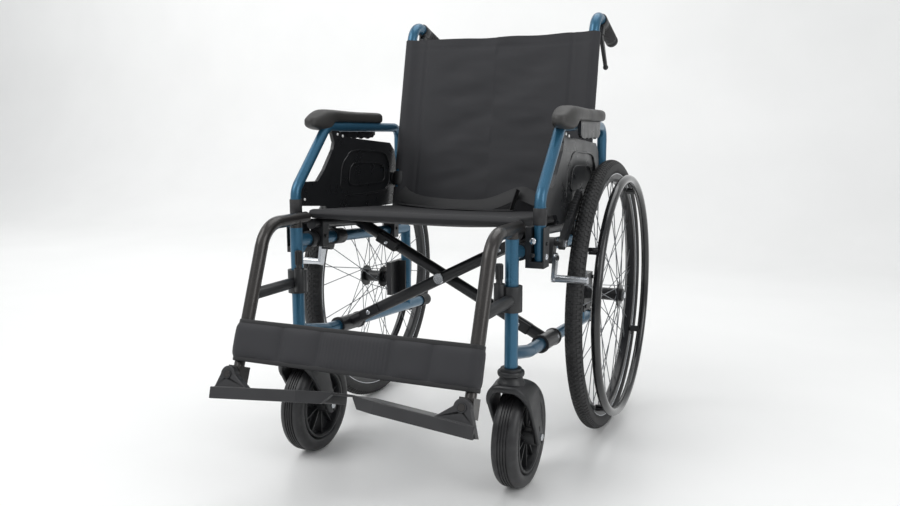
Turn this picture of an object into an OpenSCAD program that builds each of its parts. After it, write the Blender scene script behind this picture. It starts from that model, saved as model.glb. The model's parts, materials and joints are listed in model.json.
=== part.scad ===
// Folding manual wheelchair with a cross brace, flip-back armrests and swing-away footrests.
// X is across the chair, the front faces -Y and Z is up. The floor is z = 0.
// Each side piece is drawn for the left side (+X) and mirrored for the right.

/* [Frame] */
// Distance between the centre lines of the two side frames
frame_w = 460; // [380:1:560]
// Outside diameter of the frame tubes
frame_d = 25; // [22:0.5:28]
// Distance from the rear axle forward to the front posts
post_reach = 453; // [400:1:560]
// Height of the top of the front posts
post_top_z = 482; // [440:1:580]
// Height of the lower end of the front posts
post_low_z = 246; // [230:1:260]
// Height of the lower side tube behind its front bend
lower_z = 250; // [225:1:270]
// Distance between the lower and the upper side tube
tube_gap = 200; // [165:1:220]
// Slope of the side tubes, down towards the rear, in degrees
rake = 3.2; // [0:0.1:5]
// Distance from the rear axle back to the rear posts
rear_post_y = 32; // [28:1:50]
// Distance from the rear axle back to the end of the tipping lever
tail_y = 145; // [110:1:200]
// Shift of the back canes outwards from the side frames
cane_out = 5; // [0:1:6]
// Height of the top of the back upholstery
back_top_z = 900; // [760:1:1000]
// Lean of the back canes, in degrees from upright
back_lean = 12.2; // [6:0.1:18]
// Downward slope of the push grips, in degrees
grip_slope = 17; // [0:1:25]
// Distance from the rear axle back to the end of the push grips
grip_end_y = 270; // [230:1:300]

/* [Wheels] */
// Outside diameter of the rear wheels
rear_d = 610; // [560:1:660]
// Distance between the middle planes of the rear wheels
rear_track = 602; // [590:1:760]
// Width of the rear tyres
rear_tyre_w = 35; // [28:1:35]
// Diameter of the handrims, at the middle of the tube
handrim_d = 524; // [470:1:540]
// Outside diameter of the handrim tube
handrim_tube_d = 19; // [16:0.5:22]
// Distance from a rear wheel's middle plane out to its handrim
handrim_out = 38; // [32:1:50]
// Number of spokes in a rear wheel
spokes = 36; // [20:4:40]
// Diameter of a spoke
spoke_d = 2; // [1.6:0.2:3]
// Outside diameter of the casters
caster_d = 200; // [150:1:204]
// Width of a caster tyre
caster_w = 50; // [36:1:54]
// Distance of a caster's axle behind its swivel axis
caster_trail = 52; // [40:1:60]

/* [Seat and back] */
// Diameter of the seat rails
rail_d = 22; // [19:0.5:24]
// Height of the seat rails above the lower side tubes
rail_up = 231.5; // [210:0.5:260]
// Distance from the rear axle forward to the front edge of the seat
seat_reach = 412; // [380:1:414]
// Thickness of the seat sling
seat_t = 20; // [12:1:30]
// Thickness of the back sling's cloth
back_t = 2.7; // [2:0.1:4]

/* [Armrests] */
// Distance of the armrest tubes out from the side frames
arm_out = 35; // [34:0.5:44]
// Diameter of the armrest tubes
arm_d = 22; // [20:0.5:24]
// Height of the armrest tube
arm_z = 684; // [640:1:760]
// Distance from the rear axle forward to the armrest's front leg
arm_reach = 401; // [390:1:410]
// Length of the arm pad
pad_l = 314; // [240:1:330]
// Width of the arm pad
pad_w = 47; // [40:1:50]
// Height of the arm pad
pad_h = 36; // [28:1:44]
// Thickness of the side panel
panel_t = 8; // [4:1:10]

/* [Footrests] */
// Height of the hanger tube over the post
hanger_z = 499; // [496:1:600]
// Lean of the hanger's lower leg, in degrees from upright
hanger_lean = 20.5; // [10:0.5:30]
// Distance from the rear axle forward to the hanger's bend
hanger_reach = 553; // [530:1:600]
// Height of the lower end of the hanger tube
hanger_low_z = 262; // [240:1:300]
// Diameter of the footrest extension rod
ext_d = 19.5; // [16:0.5:20]
// Height of the footplate's hinge
foot_z = 236; // [190:1:240]
// Distance from the rear axle forward to the front edge of the footplates
foot_reach = 705; // [690:1:740]
// Length of a footplate across the chair, inwards from its hinge
foot_l = 207; // [160:1:208]
// Depth of a footplate, front to back
foot_depth = 112; // [80:1:115]
// Rise of a footplate towards the middle of the chair, in degrees
foot_rise = 5; // [0:1:8]
// Height of the calf strap
strap_h = 77; // [50:1:90]

/* [Hidden] */
$fn = 48;

frame_blue = "#2f6280";
tube_black = "#26272a";
plastic_black = "#1c1d1f";
rubber_black = "#202022";
cloth_black = "#2a2a2e";
gunmetal = "#3a3a3c";
bright_metal = "#c4c6ca";

air = 0.3;                      // gap between pieces that pass each other
slip = 0.05;                    // running gap of a shaft, all round
frame_x = frame_w / 2;
post_y = -post_reach;
post_r = frame_d / 2;
wheel_r = rear_d / 2;
wheel_x = rear_track / 2;
shift_y = (foot_reach - wheel_r) / 2;   // puts the origin under the middle of the outline
bend_back = 103;                // front bend of the lower tube, behind the post
bend_y = post_y + bend_back;
bend_rise = 22;                 // how far the lower tube drops to its front bend
arm_x = frame_x + arm_out;
arm_r = arm_d / 2;

// raked frame: Y runs along the lower side tube, Z is square to it
function along(y, h) = (y - bend_y - h * sin(rake)) / cos(rake);
function raked_z(y, h) = lower_z - along(y, h) * sin(rake) + h * cos(rake);
upper_front_z = raked_z(post_y, tube_gap);
clamp_r = post_r + 4.5;         // outside of a clamp round a frame tube

// back canes
cane_x = frame_x + cane_out;
cane_bend_r = 45;
cane_run = 50;                  // from the upholstery's top to the corner of the bend
cane_foot = [-13, upper_front_z - (rear_post_y + post_reach) * tan(rake) - 6];
cane_corner = cane_foot + [tan(back_lean), 1] * (back_top_z + cane_run - cane_foot[1]);
cane_end = cane_corner + [1, -tan(grip_slope)] * (grip_end_y - cane_corner[0]);
cane_path = [cane_foot, cane_corner, cane_end];
grip_start = cane_bend_r * tan((90 - back_lean + grip_slope) / 2) + 1;
bracket_l = 24;
grip_l = norm(cane_end - cane_corner) - grip_start - bracket_l - 1;
grip_r = 15.4;
lever_l = 100;
lever_drop = 24;
lever_angle = -53;
lever_hinge = cane_corner + (grip_start + bracket_l / 2) * [cos(grip_slope), -sin(grip_slope)]
    - lever_drop * [sin(grip_slope), cos(grip_slope)];

// armrest
arm_hinge_y = 66;
arm_hinge_z = arm_z - 128;
arm_leg_z = 437;
arm_knee_z = 553;
arm_rise = 46.4;
arm_elbow_y = -arm_reach + (arm_z - arm_knee_z) / tan(arm_rise);
arm_path = [[-arm_reach, arm_leg_z + air], [-arm_reach, arm_knee_z], [arm_elbow_y, arm_z],
    [arm_hinge_y, arm_z], [arm_hinge_y, arm_hinge_z + 8]];
arm_bends = [0, 40, 45, 28];
pin_r = 6;
pad_front = -350;
pad_x = frame_x + 22;
pad_z = arm_z + 38 - pad_h;
panel_x = arm_x - 7;

// hanger
hanger_drop = hanger_z - hanger_low_z;
hanger_path = [[post_y + 35, hanger_z], [-hanger_reach, hanger_z],
    [-hanger_reach - hanger_drop * tan(hanger_lean), hanger_low_z]];
hanger_bend_r = 60;
function leg_y(z) = -hanger_reach - (hanger_z - z) * tan(hanger_lean);
strap_z = 291;
clamp_z = 350;
clamp_h = 47;
rod_in = 60;
foot_x = frame_x - 1;
foot_pin_y = leg_y(foot_z) - 16;
foot_ear_t = 16;

// rear wheel
tyre_r = rear_tyre_w / 2;
rim_r = wheel_r - 32;
rim_depth = 17;
rim_w = 24;
hub_in = 29;
hub_out = 36;
axle_r = 6;
handrim_r = handrim_d / 2;

// caster
caster_r = caster_d / 2;
caster_y = post_y + caster_trail;
fork_in = caster_w / 2 + 9.5;
fork_t = 8;
stem_r = 8;
crown_z = post_low_z - 24;

// parking brake
brake_y = -300;
brake_axis = [brake_y + 10, raked_z(brake_y, tube_gap) + 8];
shoe_axis = [brake_y, raked_z(brake_y, tube_gap) - 19];
shoe_end = [brake_y - 10, raked_z(brake_y, tube_gap) - 58];
brake_grip = brake_axis + [118, 85];
mount_x = frame_x + 32;

// cross brace
brace_y = -245;
brace_gap = 28;
front_n = along(brace_y, 0) - brace_gap / 2;
rear_n = along(brace_y, 0) + brace_gap / 2;
rail_x = frame_x - 6;
brace_angle = atan(rail_up / (frame_x + rail_x));
bolt_up = rail_up * frame_x / (frame_x + rail_x);
sleeve_l = 90;
rail_front = -seat_reach + 4;
rail_rear = -30;

function unit(v) = v / norm(v);
function way(p, i) = unit(p[i + 1] - p[i]);
function turn(p, i) = acos(way(p, i - 1) * way(p, i));
function setback(p, i, r) = r * tan(turn(p, i) / 2);
function hand(p, i) = sign(cross(way(p, i - 1), way(p, i)));
function square_to(v) = [-v[1], v[0]];
function bend(r, i) = is_list(r) ? r[i] : r;

// one side's piece, drawn on the left
module side(s) {
    mirror([s < 0 ? 1 : 0, 0, 0]) translate([0, shift_y, 0]) children();
}

// a flat drawing with its x along Y and its y along Z
module upright(x) {
    translate([x, 0, 0]) rotate([90, 0, 90]) children();
}

// straight round bar between two points of an upright drawing
module bar(a, b, r) {
    v = b - a;
    translate([a[0], a[1], 0]) rotate([0, 0, atan2(v[1], v[0])]) rotate([0, 90, 0])
        cylinder(r = r, h = norm(v));
}

// bent tube through the points of an upright drawing: the straights reach a little into the bends
module run(p, r, bends) {
    last = len(p) - 1;
    lap = 0.5;
    thinning = 0.2;             // bends draw a little thinner than the straight tube
    for (i = [0 : last - 1]) {
        a = i == 0 ? p[0] : p[i] + way(p, i) * (setback(p, i, bend(bends, i)) - lap);
        b = i == last - 1 ? p[last] : p[i + 1] - way(p, i) * (setback(p, i + 1, bend(bends, i + 1)) - lap);
        bar(a, b, r);
    }
    for (i = [1 : last - 1]) {
        u = way(p, i - 1);
        v = way(p, i);
        s = hand(p, i);
        c = p[i] - u * setback(p, i, bend(bends, i)) + s * bend(bends, i) * square_to(u);
        from = s > 0 ? -square_to(u) : square_to(v);
        translate([c[0], c[1], 0]) rotate([0, 0, atan2(from[1], from[0])])
            rotate_extrude(angle = turn(p, i)) translate([bend(bends, i), 0]) circle(r = r - thinning);
    }
}

// flat link with round ends, in an upright drawing
module link(a, b, ra, rb, t) {
    v = b - a;
    translate([a[0], a[1], 0]) rotate([0, 0, atan2(v[1], v[0])]) linear_extrude(t) {
        circle(r = ra);
        translate([norm(v), 0]) circle(r = rb);
        polygon([[0, -ra], [norm(v), -rb], [norm(v), rb], [0, ra]]);
    }
}

// rectangle with round corners, centred
module soft_rect(w, h, r) {
    square([w - 2 * r, h], center = true);
    square([w, h - 2 * r], center = true);
    for (i = [-1, 1], j = [-1, 1]) translate([i * (w / 2 - r), j * (h / 2 - r)]) circle(r = r);
}

module raked() {
    translate([0, bend_y, lower_z]) rotate([-rake, 0, 0]) children();
}

// ring along the raked frame, starting at distance n and height h
module raked_ring(x, n, h, l, ro, ri) {
    raked() translate([x, n, h]) rotate([-90, 0, 0]) difference() {
        cylinder(r = ro, h = l);
        translate([0, 0, -1]) cylinder(r = ri, h = l + 2);
    }
}

// lies along a back cane, with Z up the cane from its foot
module on_cane(x) {
    translate([x, cane_foot[0], cane_foot[1]]) rotate([-back_lean, 0, 0]) children();
}

// lies along a push grip, with Z towards the grip's end
module on_grip() {
    translate([cane_x, cane_corner[0], cane_corner[1]]) rotate([-90 - grip_slope, 0, 0]) children();
}

// turns about a rear axle: the wheel's Z is +X
module on_wheel() {
    translate([wheel_x, 0, wheel_r]) rotate([0, 90, 0]) children();
}

module on_caster() {
    translate([frame_x, caster_y, caster_r]) rotate([0, 90, 0]) children();
}

// lies along a footplate's hinge, which is square to the hanger's lower leg
module on_foot() {
    translate([foot_x, foot_pin_y, foot_z]) rotate([-hanger_lean, 0, 0]) children();
}

// Side frame: front post, raked upper and lower tubes and rear post, welded together
module side_frame(s) {
    lower_path = [[post_y, lower_z + bend_rise], [bend_y, lower_z],
        [tail_y, raked_z(tail_y, 0)]];
    pin_depth = 64;
    stem_depth = 74;
    color(frame_blue) side(s) difference() {
        union() {
            translate([frame_x, post_y, post_low_z]) cylinder(r = post_r, h = post_top_z - post_low_z);
            upright(frame_x) {
                run(lower_path, post_r, 60);
                bar([post_y, upper_front_z], [rear_post_y, raked_z(rear_post_y, tube_gap)], post_r);
                bar([rear_post_y, raked_z(rear_post_y, 0)],
                    [rear_post_y, raked_z(rear_post_y, tube_gap) + 6], post_r);
            }
            upright(frame_x - 2) linear_extrude(4)
                polygon([[post_y, upper_front_z - 46], [post_y, upper_front_z], [post_y + 48, upper_front_z - 4]]);
        }
        translate([frame_x, post_y, post_top_z - pin_depth]) cylinder(r = 9 + slip, h = pin_depth + 1);
        translate([frame_x, post_y, post_low_z - 1]) cylinder(r = stem_r + slip, h = stem_depth + 1);
    }
}

// Back cane: leaning tube that bends back into the push handle
module back_cane(s) {
    color(frame_blue) side(s) difference() {
        upright(cane_x) run(cane_path, post_r, cane_bend_r);
        upright(frame_x) bar([post_y, upper_front_z],
            [tail_y, raked_z(tail_y, tube_gap)], post_r + slip);
        upright(frame_x) bar([rear_post_y, lower_z], [rear_post_y, back_top_z / 2 + 20], post_r + slip);
    }
}

// Push grip: ribbed rubber sleeve with a closed end
module push_grip(s) {
    rib_pitch = 9;
    ribs = floor((grip_l - 22) / rib_pitch);
    color(rubber_black) side(s) on_grip() translate([0, 0, grip_start + bracket_l + 1]) difference() {
        union() {
            cylinder(r = grip_r - 1.2, h = grip_l + 4);
            cylinder(r = grip_r, h = 8);
            translate([0, 0, grip_l - 6]) cylinder(r = grip_r, h = 10);
            for (i = [1 : ribs]) translate([0, 0, 5 + i * rib_pitch]) cylinder(r = grip_r, h = 4.5);
        }
        translate([0, 0, -1]) cylinder(r = post_r + slip, h = grip_l + 1.3);
    }
}

// Grip bracket: clamp that carries the attendant's brake lever
module grip_bracket(s) {
    color(plastic_black) side(s) {
        on_grip() translate([0, 0, grip_start]) difference() {
            union() {
                cylinder(r = post_r + 3, h = bracket_l);
                translate([-8, 0, 4]) cube([16, lever_drop + 8, bracket_l - 8]);
            }
            translate([0, 0, -1]) cylinder(r = post_r + slip, h = bracket_l + 2);
            translate([-4 - air, post_r + 3.5, -1]) cube([8 + 2 * air, lever_drop, bracket_l + 2]);
        }
        upright(cane_x - 8) translate(lever_hinge) cylinder(r = 3, h = 16);
    }
}

// Attendant's brake lever: hangs under the grip and ends in a ball
module attendant_lever(s) {
    tip = lever_hinge + lever_l * [cos(lever_angle), sin(lever_angle)];
    color(gunmetal) side(s) difference() {
        union() {
            upright(cane_x - 4) link(lever_hinge, tip, 7, 4, 8);
            upright(cane_x) translate(tip) sphere(r = 6.5);
        }
        upright(cane_x - 5) translate(lever_hinge) cylinder(r = 3 + slip, h = 10);
    }
}

// Tipping tip: rubber cap on the end of the lower tube
module tipping_tip(s) {
    cap_l = 34;
    n = along(tail_y, 0);
    color(rubber_black) side(s) raked() translate([frame_x, n - cap_l, 0]) rotate([-90, 0, 0])
        difference() {
            cylinder(r = post_r + 2.8, h = cap_l + 5);
            translate([0, 0, -1]) cylinder(r = post_r + slip, h = cap_l + 1.2);
        }
}

// Axle block: bolted round the rear post, holds the rear axle
module axle_block(s) {
    block_z = wheel_r - 42;
    block_h = 84;
    plate_x = frame_x + post_r + 0.6;
    color(tube_black) side(s) {
        difference() {
            union() {
                translate([frame_x - 6, rear_post_y - 17, block_z]) cube([31, 34, block_h]);
                translate([plate_x, -26, block_z]) cube([12, rear_post_y + 43, block_h]);
                upright(plate_x) translate([0, wheel_r]) cylinder(r = 15, h = wheel_x - hub_in - plate_x - 3);
            }
            translate([frame_x, rear_post_y, block_z - 1]) cylinder(r = post_r + slip, h = block_h + 2);
        }
        upright(plate_x + 6) translate([0, wheel_r])
            cylinder(r = axle_r, h = wheel_x + hub_out - plate_x - 4);
        for (i = [-1, 1], y = [-14, rear_post_y + 10])
            upright(plate_x + 11) translate([y, wheel_r + i * 30]) cylinder(r = 5, h = 5, $fn = 6);
    }
}

// Seat saddles: H-shaped blocks on the upper tube, with a cradle for the seat rail
module seat_saddles(s) {
    saddle_l = 22;
    wall = 4.7;
    slot = rail_d / 2 + air;
    color(plastic_black) side(s) for (y = [post_y + 75, -60])
        raked() translate([0, along(y, tube_gap) - saddle_l / 2, 0]) difference() {
            translate([rail_x - slot - wall, 0, tube_gap - post_r - 4])
                cube([2 * (slot + wall), saddle_l, rail_up - tube_gap + post_r + 8]);
            translate([frame_x, -1, tube_gap]) rotate([-90, 0, 0])
                cylinder(r = post_r + slip, h = saddle_l + 2);
            translate([rail_x, -1, rail_up]) rotate([-90, 0, 0]) cylinder(r = slot, h = saddle_l + 2);
            translate([rail_x - slot, -1, rail_up]) cube([2 * slot, saddle_l + 2, rail_d]);
        }
}

// Arm socket: receiver for the armrest's front leg, open to the front
module arm_socket(s) {
    socket_w = 35;
    socket_l = 34;
    socket_top = 500;
    socket_low = arm_leg_z - 12;
    room = arm_r + air;
    color(plastic_black) side(s) {
        difference() {
            translate([frame_x + post_r + 0.6, -arm_reach - socket_l / 2, socket_low])
                cube([socket_w + arm_out - 35, socket_l, socket_top - socket_low]);
            translate([arm_x, -arm_reach, arm_leg_z]) cylinder(r = room, h = socket_top);
            translate([arm_x - room, -arm_reach - socket_l, arm_leg_z]) cube([2 * room, socket_l, socket_top]);
        }
        difference() {
            raked_ring(frame_x, along(-arm_reach - 3, tube_gap) - 10, tube_gap, 20, clamp_r, post_r + slip);
            translate([arm_x, -arm_reach, arm_leg_z]) cylinder(r = room, h = socket_top);
        }
    }
}

// Armrest hinge: clamp on the cane with a plate and the pin that the armrest turns on
module arm_hinge(s) {
    clamp_l = 34;
    plate_t = 2.6;
    plate_x = arm_x - arm_r - air - plate_t;
    up = (arm_hinge_z - cane_foot[1]) / cos(back_lean) - clamp_l / 2;
    cane_y = cane_foot[0] + (arm_hinge_z - cane_foot[1]) * tan(back_lean);
    color(plastic_black) side(s) {
        difference() {
            union() {
                on_cane(cane_x) translate([0, 0, up]) cylinder(r = post_r + 4, h = clamp_l);
                upright(plate_x) link([cane_y, arm_hinge_z], [arm_hinge_y, arm_hinge_z], 16, 12, plate_t);
            }
            on_cane(cane_x) cylinder(r = post_r + slip, h = back_top_z - cane_foot[1]);
        }
        upright(plate_x) translate([arm_hinge_y, arm_hinge_z]) cylinder(r = pin_r, h = arm_d + plate_t + 3);
    }
}

// Armrest tube: front leg, slope, top rail and rear leg with its hinge eye
module armrest_tube(s) {
    eye_r = 14;
    eye_l = arm_d - 3;
    color(frame_blue) side(s) difference() {
        union() {
            upright(arm_x) run(arm_path, arm_r, arm_bends);
            upright(arm_x - eye_l / 2) translate([arm_hinge_y, arm_hinge_z]) cylinder(r = eye_r, h = eye_l);
        }
        upright(arm_x - arm_r - 1) translate([arm_hinge_y, arm_hinge_z])
            cylinder(r = pin_r + slip, h = arm_d + 2);
    }
}

// Arm pad: moulded pad that sits over the armrest tube, with a skirt on its outer side
module arm_pad(s) {
    nose_r = 16;
    skirt_l = 160;
    skirt_h = 34;
    color(rubber_black) side(s) difference() {
        union() {
            translate([pad_x + pad_w / 2, pad_front, pad_z]) linear_extrude(pad_h)
                translate([0, pad_l / 2]) soft_rect(pad_w, pad_l, nose_r);
            translate([arm_x + arm_r + 2, pad_front + pad_l - skirt_l - 8, pad_z - skirt_h])
                cube([6, skirt_l, skirt_h + 4]);
        }
        upright(arm_x) run(arm_path, arm_r + air, arm_bends);
        translate([arm_x - arm_r - air, arm_elbow_y - 34, pad_z - 20])
            cube([arm_d + 2 * air, pad_l, arm_z - pad_z + 20]);
    }
}

// Side panel: moulded guard inside the armrest tube, with a shallow framed field
module side_panel(s) {
    low_z = 492;
    top_z = arm_z - 30;
    rear_y = 50;
    field = [[-235, 545], [-225, 600], [-180, 632], [-25, 624], [0, 596], [0, 545], [-30, 528], [-205, 528]];
    color(plastic_black) side(s) difference() {
        upright(panel_x) difference() {
            linear_extrude(panel_t) polygon([[-arm_reach + 4, low_z + 28], [-arm_reach + 4, 558],
                [-374, 569], [-326, 568], [-300, 590], [-262, 634], [-256, 650], [-268, arm_z - 6],
                [-238, arm_z - 6], [-222, top_z + 8], [6, top_z - 8], [28, top_z - 26], [36, 602],
                [36, 590], [36, low_z], [-280, low_z], [-300, low_z + 20]]);
            translate([0, 0, -1]) linear_extrude(2.5) polygon(field);
            translate([0, 0, panel_t - 1.5]) linear_extrude(2.5) polygon(field);
        }
        upright(arm_x) run(arm_path, arm_r + air, arm_bends);
        upright(arm_x - arm_r - 1) translate([arm_hinge_y, arm_hinge_z]) cylinder(r = 17, h = arm_d + 2);
    }
}

// Rear tyre
module rear_tyre(s) {
    color(rubber_black) side(s) on_wheel() rotate_extrude($fn = 96) difference() {
        translate([wheel_r - tyre_r, 0]) circle(r = tyre_r);
        translate([rim_r - 20, -tyre_r]) square([20, 2 * tyre_r]);
    }
}

// Rear rim
module rear_rim(s) {
    color(tube_black) side(s) on_wheel() rotate_extrude($fn = 96)
        polygon([[rim_r - slip, -rim_w / 2], [rim_r - slip, rim_w / 2], [rim_r - 11, rim_w / 2 - 2],
            [rim_r - rim_depth, 6], [rim_r - rim_depth, -6], [rim_r - 11, 2 - rim_w / 2]]);
}

// Rear hub with its crossed spokes
module rear_hub(s) {
    flange_r = 26;
    hole_r = 22;
    cross_angle = 56;
    color(tube_black) side(s) on_wheel() difference() {
        union() {
            translate([0, 0, -hub_in]) cylinder(r = 14, h = hub_in + hub_out);
            for (z = [-24, 26]) translate([0, 0, z]) cylinder(r = flange_r, h = 4);
            for (i = [0 : spokes - 1]) {
                a = i * 360 / spokes;
                b = a + (floor(i / 2) % 2 == 0 ? cross_angle : -cross_angle);
                z = i % 2 == 0 ? -22 : 28;
                foot = [hole_r * cos(a), hole_r * sin(a), z];
                tip = [(rim_r - rim_depth - air) * cos(b), (rim_r - rim_depth - air) * sin(b), 0];
                v = tip - foot;
                translate(foot) rotate([0, acos(v[2] / norm(v)), atan2(v[1], v[0])])
                    cylinder(d = spoke_d, h = norm(v), $fn = 6);
            }
        }
        translate([0, 0, -hub_in - 1]) cylinder(r = axle_r + slip, h = hub_in + hub_out + 2);
    }
}

// Handrim: ring with its stand-offs from the rim
module handrim(s) {
    first = 60;
    start = rim_w / 2 + air;
    color(tube_black) side(s) on_wheel() {
        translate([0, 0, handrim_out]) rotate_extrude($fn = 96)
            translate([handrim_r, 0]) circle(d = handrim_tube_d);
        for (i = [0 : 3]) rotate([0, 0, first + i * 90]) translate([rim_r - 8, 0, start])
            cylinder(r = 4.5, h = handrim_out - start);
    }
}

// Caster fork: stem, crown, two legs and the axle
module caster_fork(s) {
    leg_top = [post_y, crown_z - 6];
    leg_low = [caster_y, caster_r];
    top_r = 24;
    color(plastic_black) side(s) {
        translate([frame_x, post_y, crown_z - 22]) cylinder(r = 34, h = 14);
        translate([frame_x, post_y, crown_z - 10]) cylinder(r = 25, h = 10);
        translate([frame_x, post_y, crown_z - 2]) cylinder(r = 20, h = post_low_z - crown_z + 2 - air);
        translate([frame_x, post_y, crown_z]) cylinder(r = stem_r, h = post_low_z - crown_z + 70);
        for (x = [frame_x - fork_in - fork_t, frame_x + fork_in]) upright(x) difference() {
            link(leg_top, leg_low, top_r, 17, fork_t);
            translate([post_y - 40, crown_z, -1]) cube([80, 40, fork_t + 2]);
        }
        translate([frame_x - fork_in - fork_t, post_y - top_r + 3, crown_z - 15])
            cube([2 * (fork_in + fork_t), 2 * (top_r - 3), 10]);
        upright(frame_x - fork_in - fork_t) translate(leg_low) cylinder(r = 6, h = 2 * (fork_in + fork_t));
    }
}

// Caster tyre
module caster_tyre(s) {
    tyre_t = 28;
    color(rubber_black) side(s) on_caster() rotate_extrude($fn = 72)
        translate([caster_r - tyre_t / 2, 0]) soft_rect(tyre_t, caster_w, 11);
}

// Caster rim: hub, web with five windows and tyre seat
module caster_rim(s) {
    seat_r = caster_r - 28 - slip;
    color(plastic_black) side(s) on_caster() difference() {
        union() {
            translate([0, 0, -caster_w / 2 + 4]) difference() {
                cylinder(r = seat_r, h = caster_w - 8);
                translate([0, 0, -1]) cylinder(r = seat_r - 7, h = caster_w);
            }
            translate([0, 0, -6]) cylinder(r = seat_r - 3, h = 12);
            translate([0, 0, -fork_in + air]) cylinder(r = 17, h = 2 * (fork_in - air));
        }
        translate([0, 0, -fork_in]) cylinder(r = 6 + slip, h = 2 * fork_in);
        for (i = [0 : 4]) rotate([0, 0, i * 72]) translate([(17 + seat_r) / 2, 0, -10])
            cylinder(r = (seat_r - 17) / 2 - 9, h = 20);
    }
}

// Hanger: swings on a pin in the front post and carries the footrest
module hanger(s) {
    color(gunmetal) side(s) difference() {
        union() {
            upright(frame_x) run(hanger_path, post_r, hanger_bend_r);
            translate([frame_x, post_y, post_top_z + air]) cylinder(r = post_r, h = hanger_z - post_top_z - air);
            translate([frame_x, post_y, post_top_z - 60]) cylinder(r = 9, h = 70);
        }
        upright(frame_x) bar(hanger_path[2] + [-1, -1] * 0.001, hanger_path[2]
            + rod_in * [sin(hanger_lean), cos(hanger_lean)], ext_d / 2 + slip);
    }
}

// Hanger clamp: ring that turns on the post, tied to the hanger by a stub and latched by a knob
module hanger_clamp(s) {
    stub_z = clamp_z + 22;
    knob_at = [frame_x - 17, post_y - 19];
    color(plastic_black) side(s) difference() {
        union() {
            translate([frame_x, post_y, clamp_z]) cylinder(r = clamp_r + 2.5, h = clamp_h);
            upright(frame_x) bar([post_y, stub_z], [leg_y(stub_z), stub_z], 11);
            translate([knob_at[0], knob_at[1], clamp_z + 6]) cylinder(r = 10, h = clamp_h);
            translate([knob_at[0], knob_at[1], clamp_z + clamp_h]) cylinder(r = 6, h = 42);
        }
        translate([frame_x, post_y, clamp_z - 1]) cylinder(r = post_r + air, h = clamp_h + 50);
        upright(frame_x) run(hanger_path, post_r + slip, hanger_bend_r);
    }
}

// Footrest rod: slides in the hanger and ends in the hinge block of the footplate
module footrest_rod(s) {
    block = [26, 30, 34];
    top = hanger_path[2] + (rod_in - 2) * [sin(hanger_lean), cos(hanger_lean)];
    color(gunmetal) side(s) {
        upright(frame_x) bar([leg_y(foot_z - 20), foot_z - 20], top, ext_d / 2);
        on_foot() {
            translate([-block[0] / 2, 0, -block[2] / 2]) cube(block);
            translate([0, 4, 0]) rotate([90, 0, 0]) cylinder(r = pin_r, h = foot_ear_t + 6);
        }
    }
}

// Footplate: ear on the hinge, front bar with a cut-back inner corner, tread plate and ribs beneath
module footplate(s) {
    tread_t = 4;
    bar_t = 10;
    bar_h = 21;
    drop = 26;
    outer = 30;                 // how far the front bar runs outside the hinge pin
    corner = [56, 27];          // inner front corner, cut back across and in depth
    short = 17;                 // the ribs stop short of the inner end, to pass as the chair folds
    low_z = -(drop + 8 + bar_h / 2) * cos(foot_rise) - outer * sin(foot_rise);
    front = -(foot_pin_y + foot_reach + low_z * sin(hanger_lean)) / cos(hanger_lean);
    edge = [[outer, 0], [corner[0] - foot_l, 0], [-foot_l, corner[1]]];
    rib_h = bar_h - tread_t - 3;
    color(gunmetal) side(s) on_foot() difference() {
        rotate([0, foot_rise, 0]) union() {
            translate([0, -air, 0]) rotate([90, 0, 0]) linear_extrude(foot_ear_t) {
                circle(r = 15);
                polygon([[-15, 0], [-46, -drop], [-46, -drop - 16], [34, -drop - 16], [15, 0]]);
            }
            translate([0, front, -drop - 8 - bar_h / 2]) {
                difference() {
                    linear_extrude(bar_h)
                        polygon(concat(edge, [for (i = [2 : -1 : 0]) edge[i] + [0, bar_t]]));
                    translate([-foot_l, 0, 0]) rotate([0, 45, 0])
                        cube([short * sqrt(2), 4 * foot_depth, short * sqrt(2)], center = true);
                }
                translate([0, 0, bar_h - tread_t]) linear_extrude(tread_t) polygon([[-22, 1],
                    edge[1] + [0, 1], edge[2] + [0, 1], [-foot_l, foot_depth], [-22, foot_depth]]);
                for (i = [0 : 6]) translate([short - foot_l, corner[1] + i * (foot_depth - corner[1] - 3) / 6, 3])
                    cube([foot_l - 22 - short, 3, rib_h + 1]);
                for (i = [0 : 5]) translate([short - foot_l + i * (foot_l - 26 - short) / 5, corner[1], 3])
                    cube([4, foot_depth - corner[1], rib_h + 1]);
            }
        }
        rotate([90, 0, 0]) translate([0, 0, -1]) cylinder(r = pin_r + slip, h = foot_ear_t + 40);
    }
}

// Parking brake mount: clamp on the upper tube with a plate and two pins
module brake_mount(s) {
    mount_l = 36;
    plate_x = frame_x + post_r + 0.6;
    color(plastic_black) side(s) {
        raked_ring(frame_x, along(brake_y, tube_gap) - mount_l / 2, tube_gap, mount_l, clamp_r, post_r + slip);
        difference() {
            upright(plate_x) link(brake_axis, shoe_axis, 12, 12, mount_x - plate_x);
            upright(frame_x) bar([post_y, upper_front_z], [0, raked_z(0, tube_gap)], post_r + slip);
        }
        upright(mount_x - 2) translate(brake_axis) cylinder(r = 5, h = 21);
        upright(mount_x - 2) translate(shoe_axis) cylinder(r = 5, h = 12);
    }
}

// Parking brake lever
module brake_lever(s) {
    lever_x = frame_x + 40 + air;
    lever_t = 10.5;
    color(plastic_black) side(s) difference() {
        union() {
            upright(lever_x) link(brake_axis, brake_grip, 12, 7, lever_t);
            upright(lever_x) link(brake_axis + (brake_grip - brake_axis) * 0.45, brake_grip, 11, 11, lever_t);
        }
        upright(lever_x - 1) translate(brake_axis) cylinder(r = 5 + slip, h = lever_t + 2);
    }
}

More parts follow.
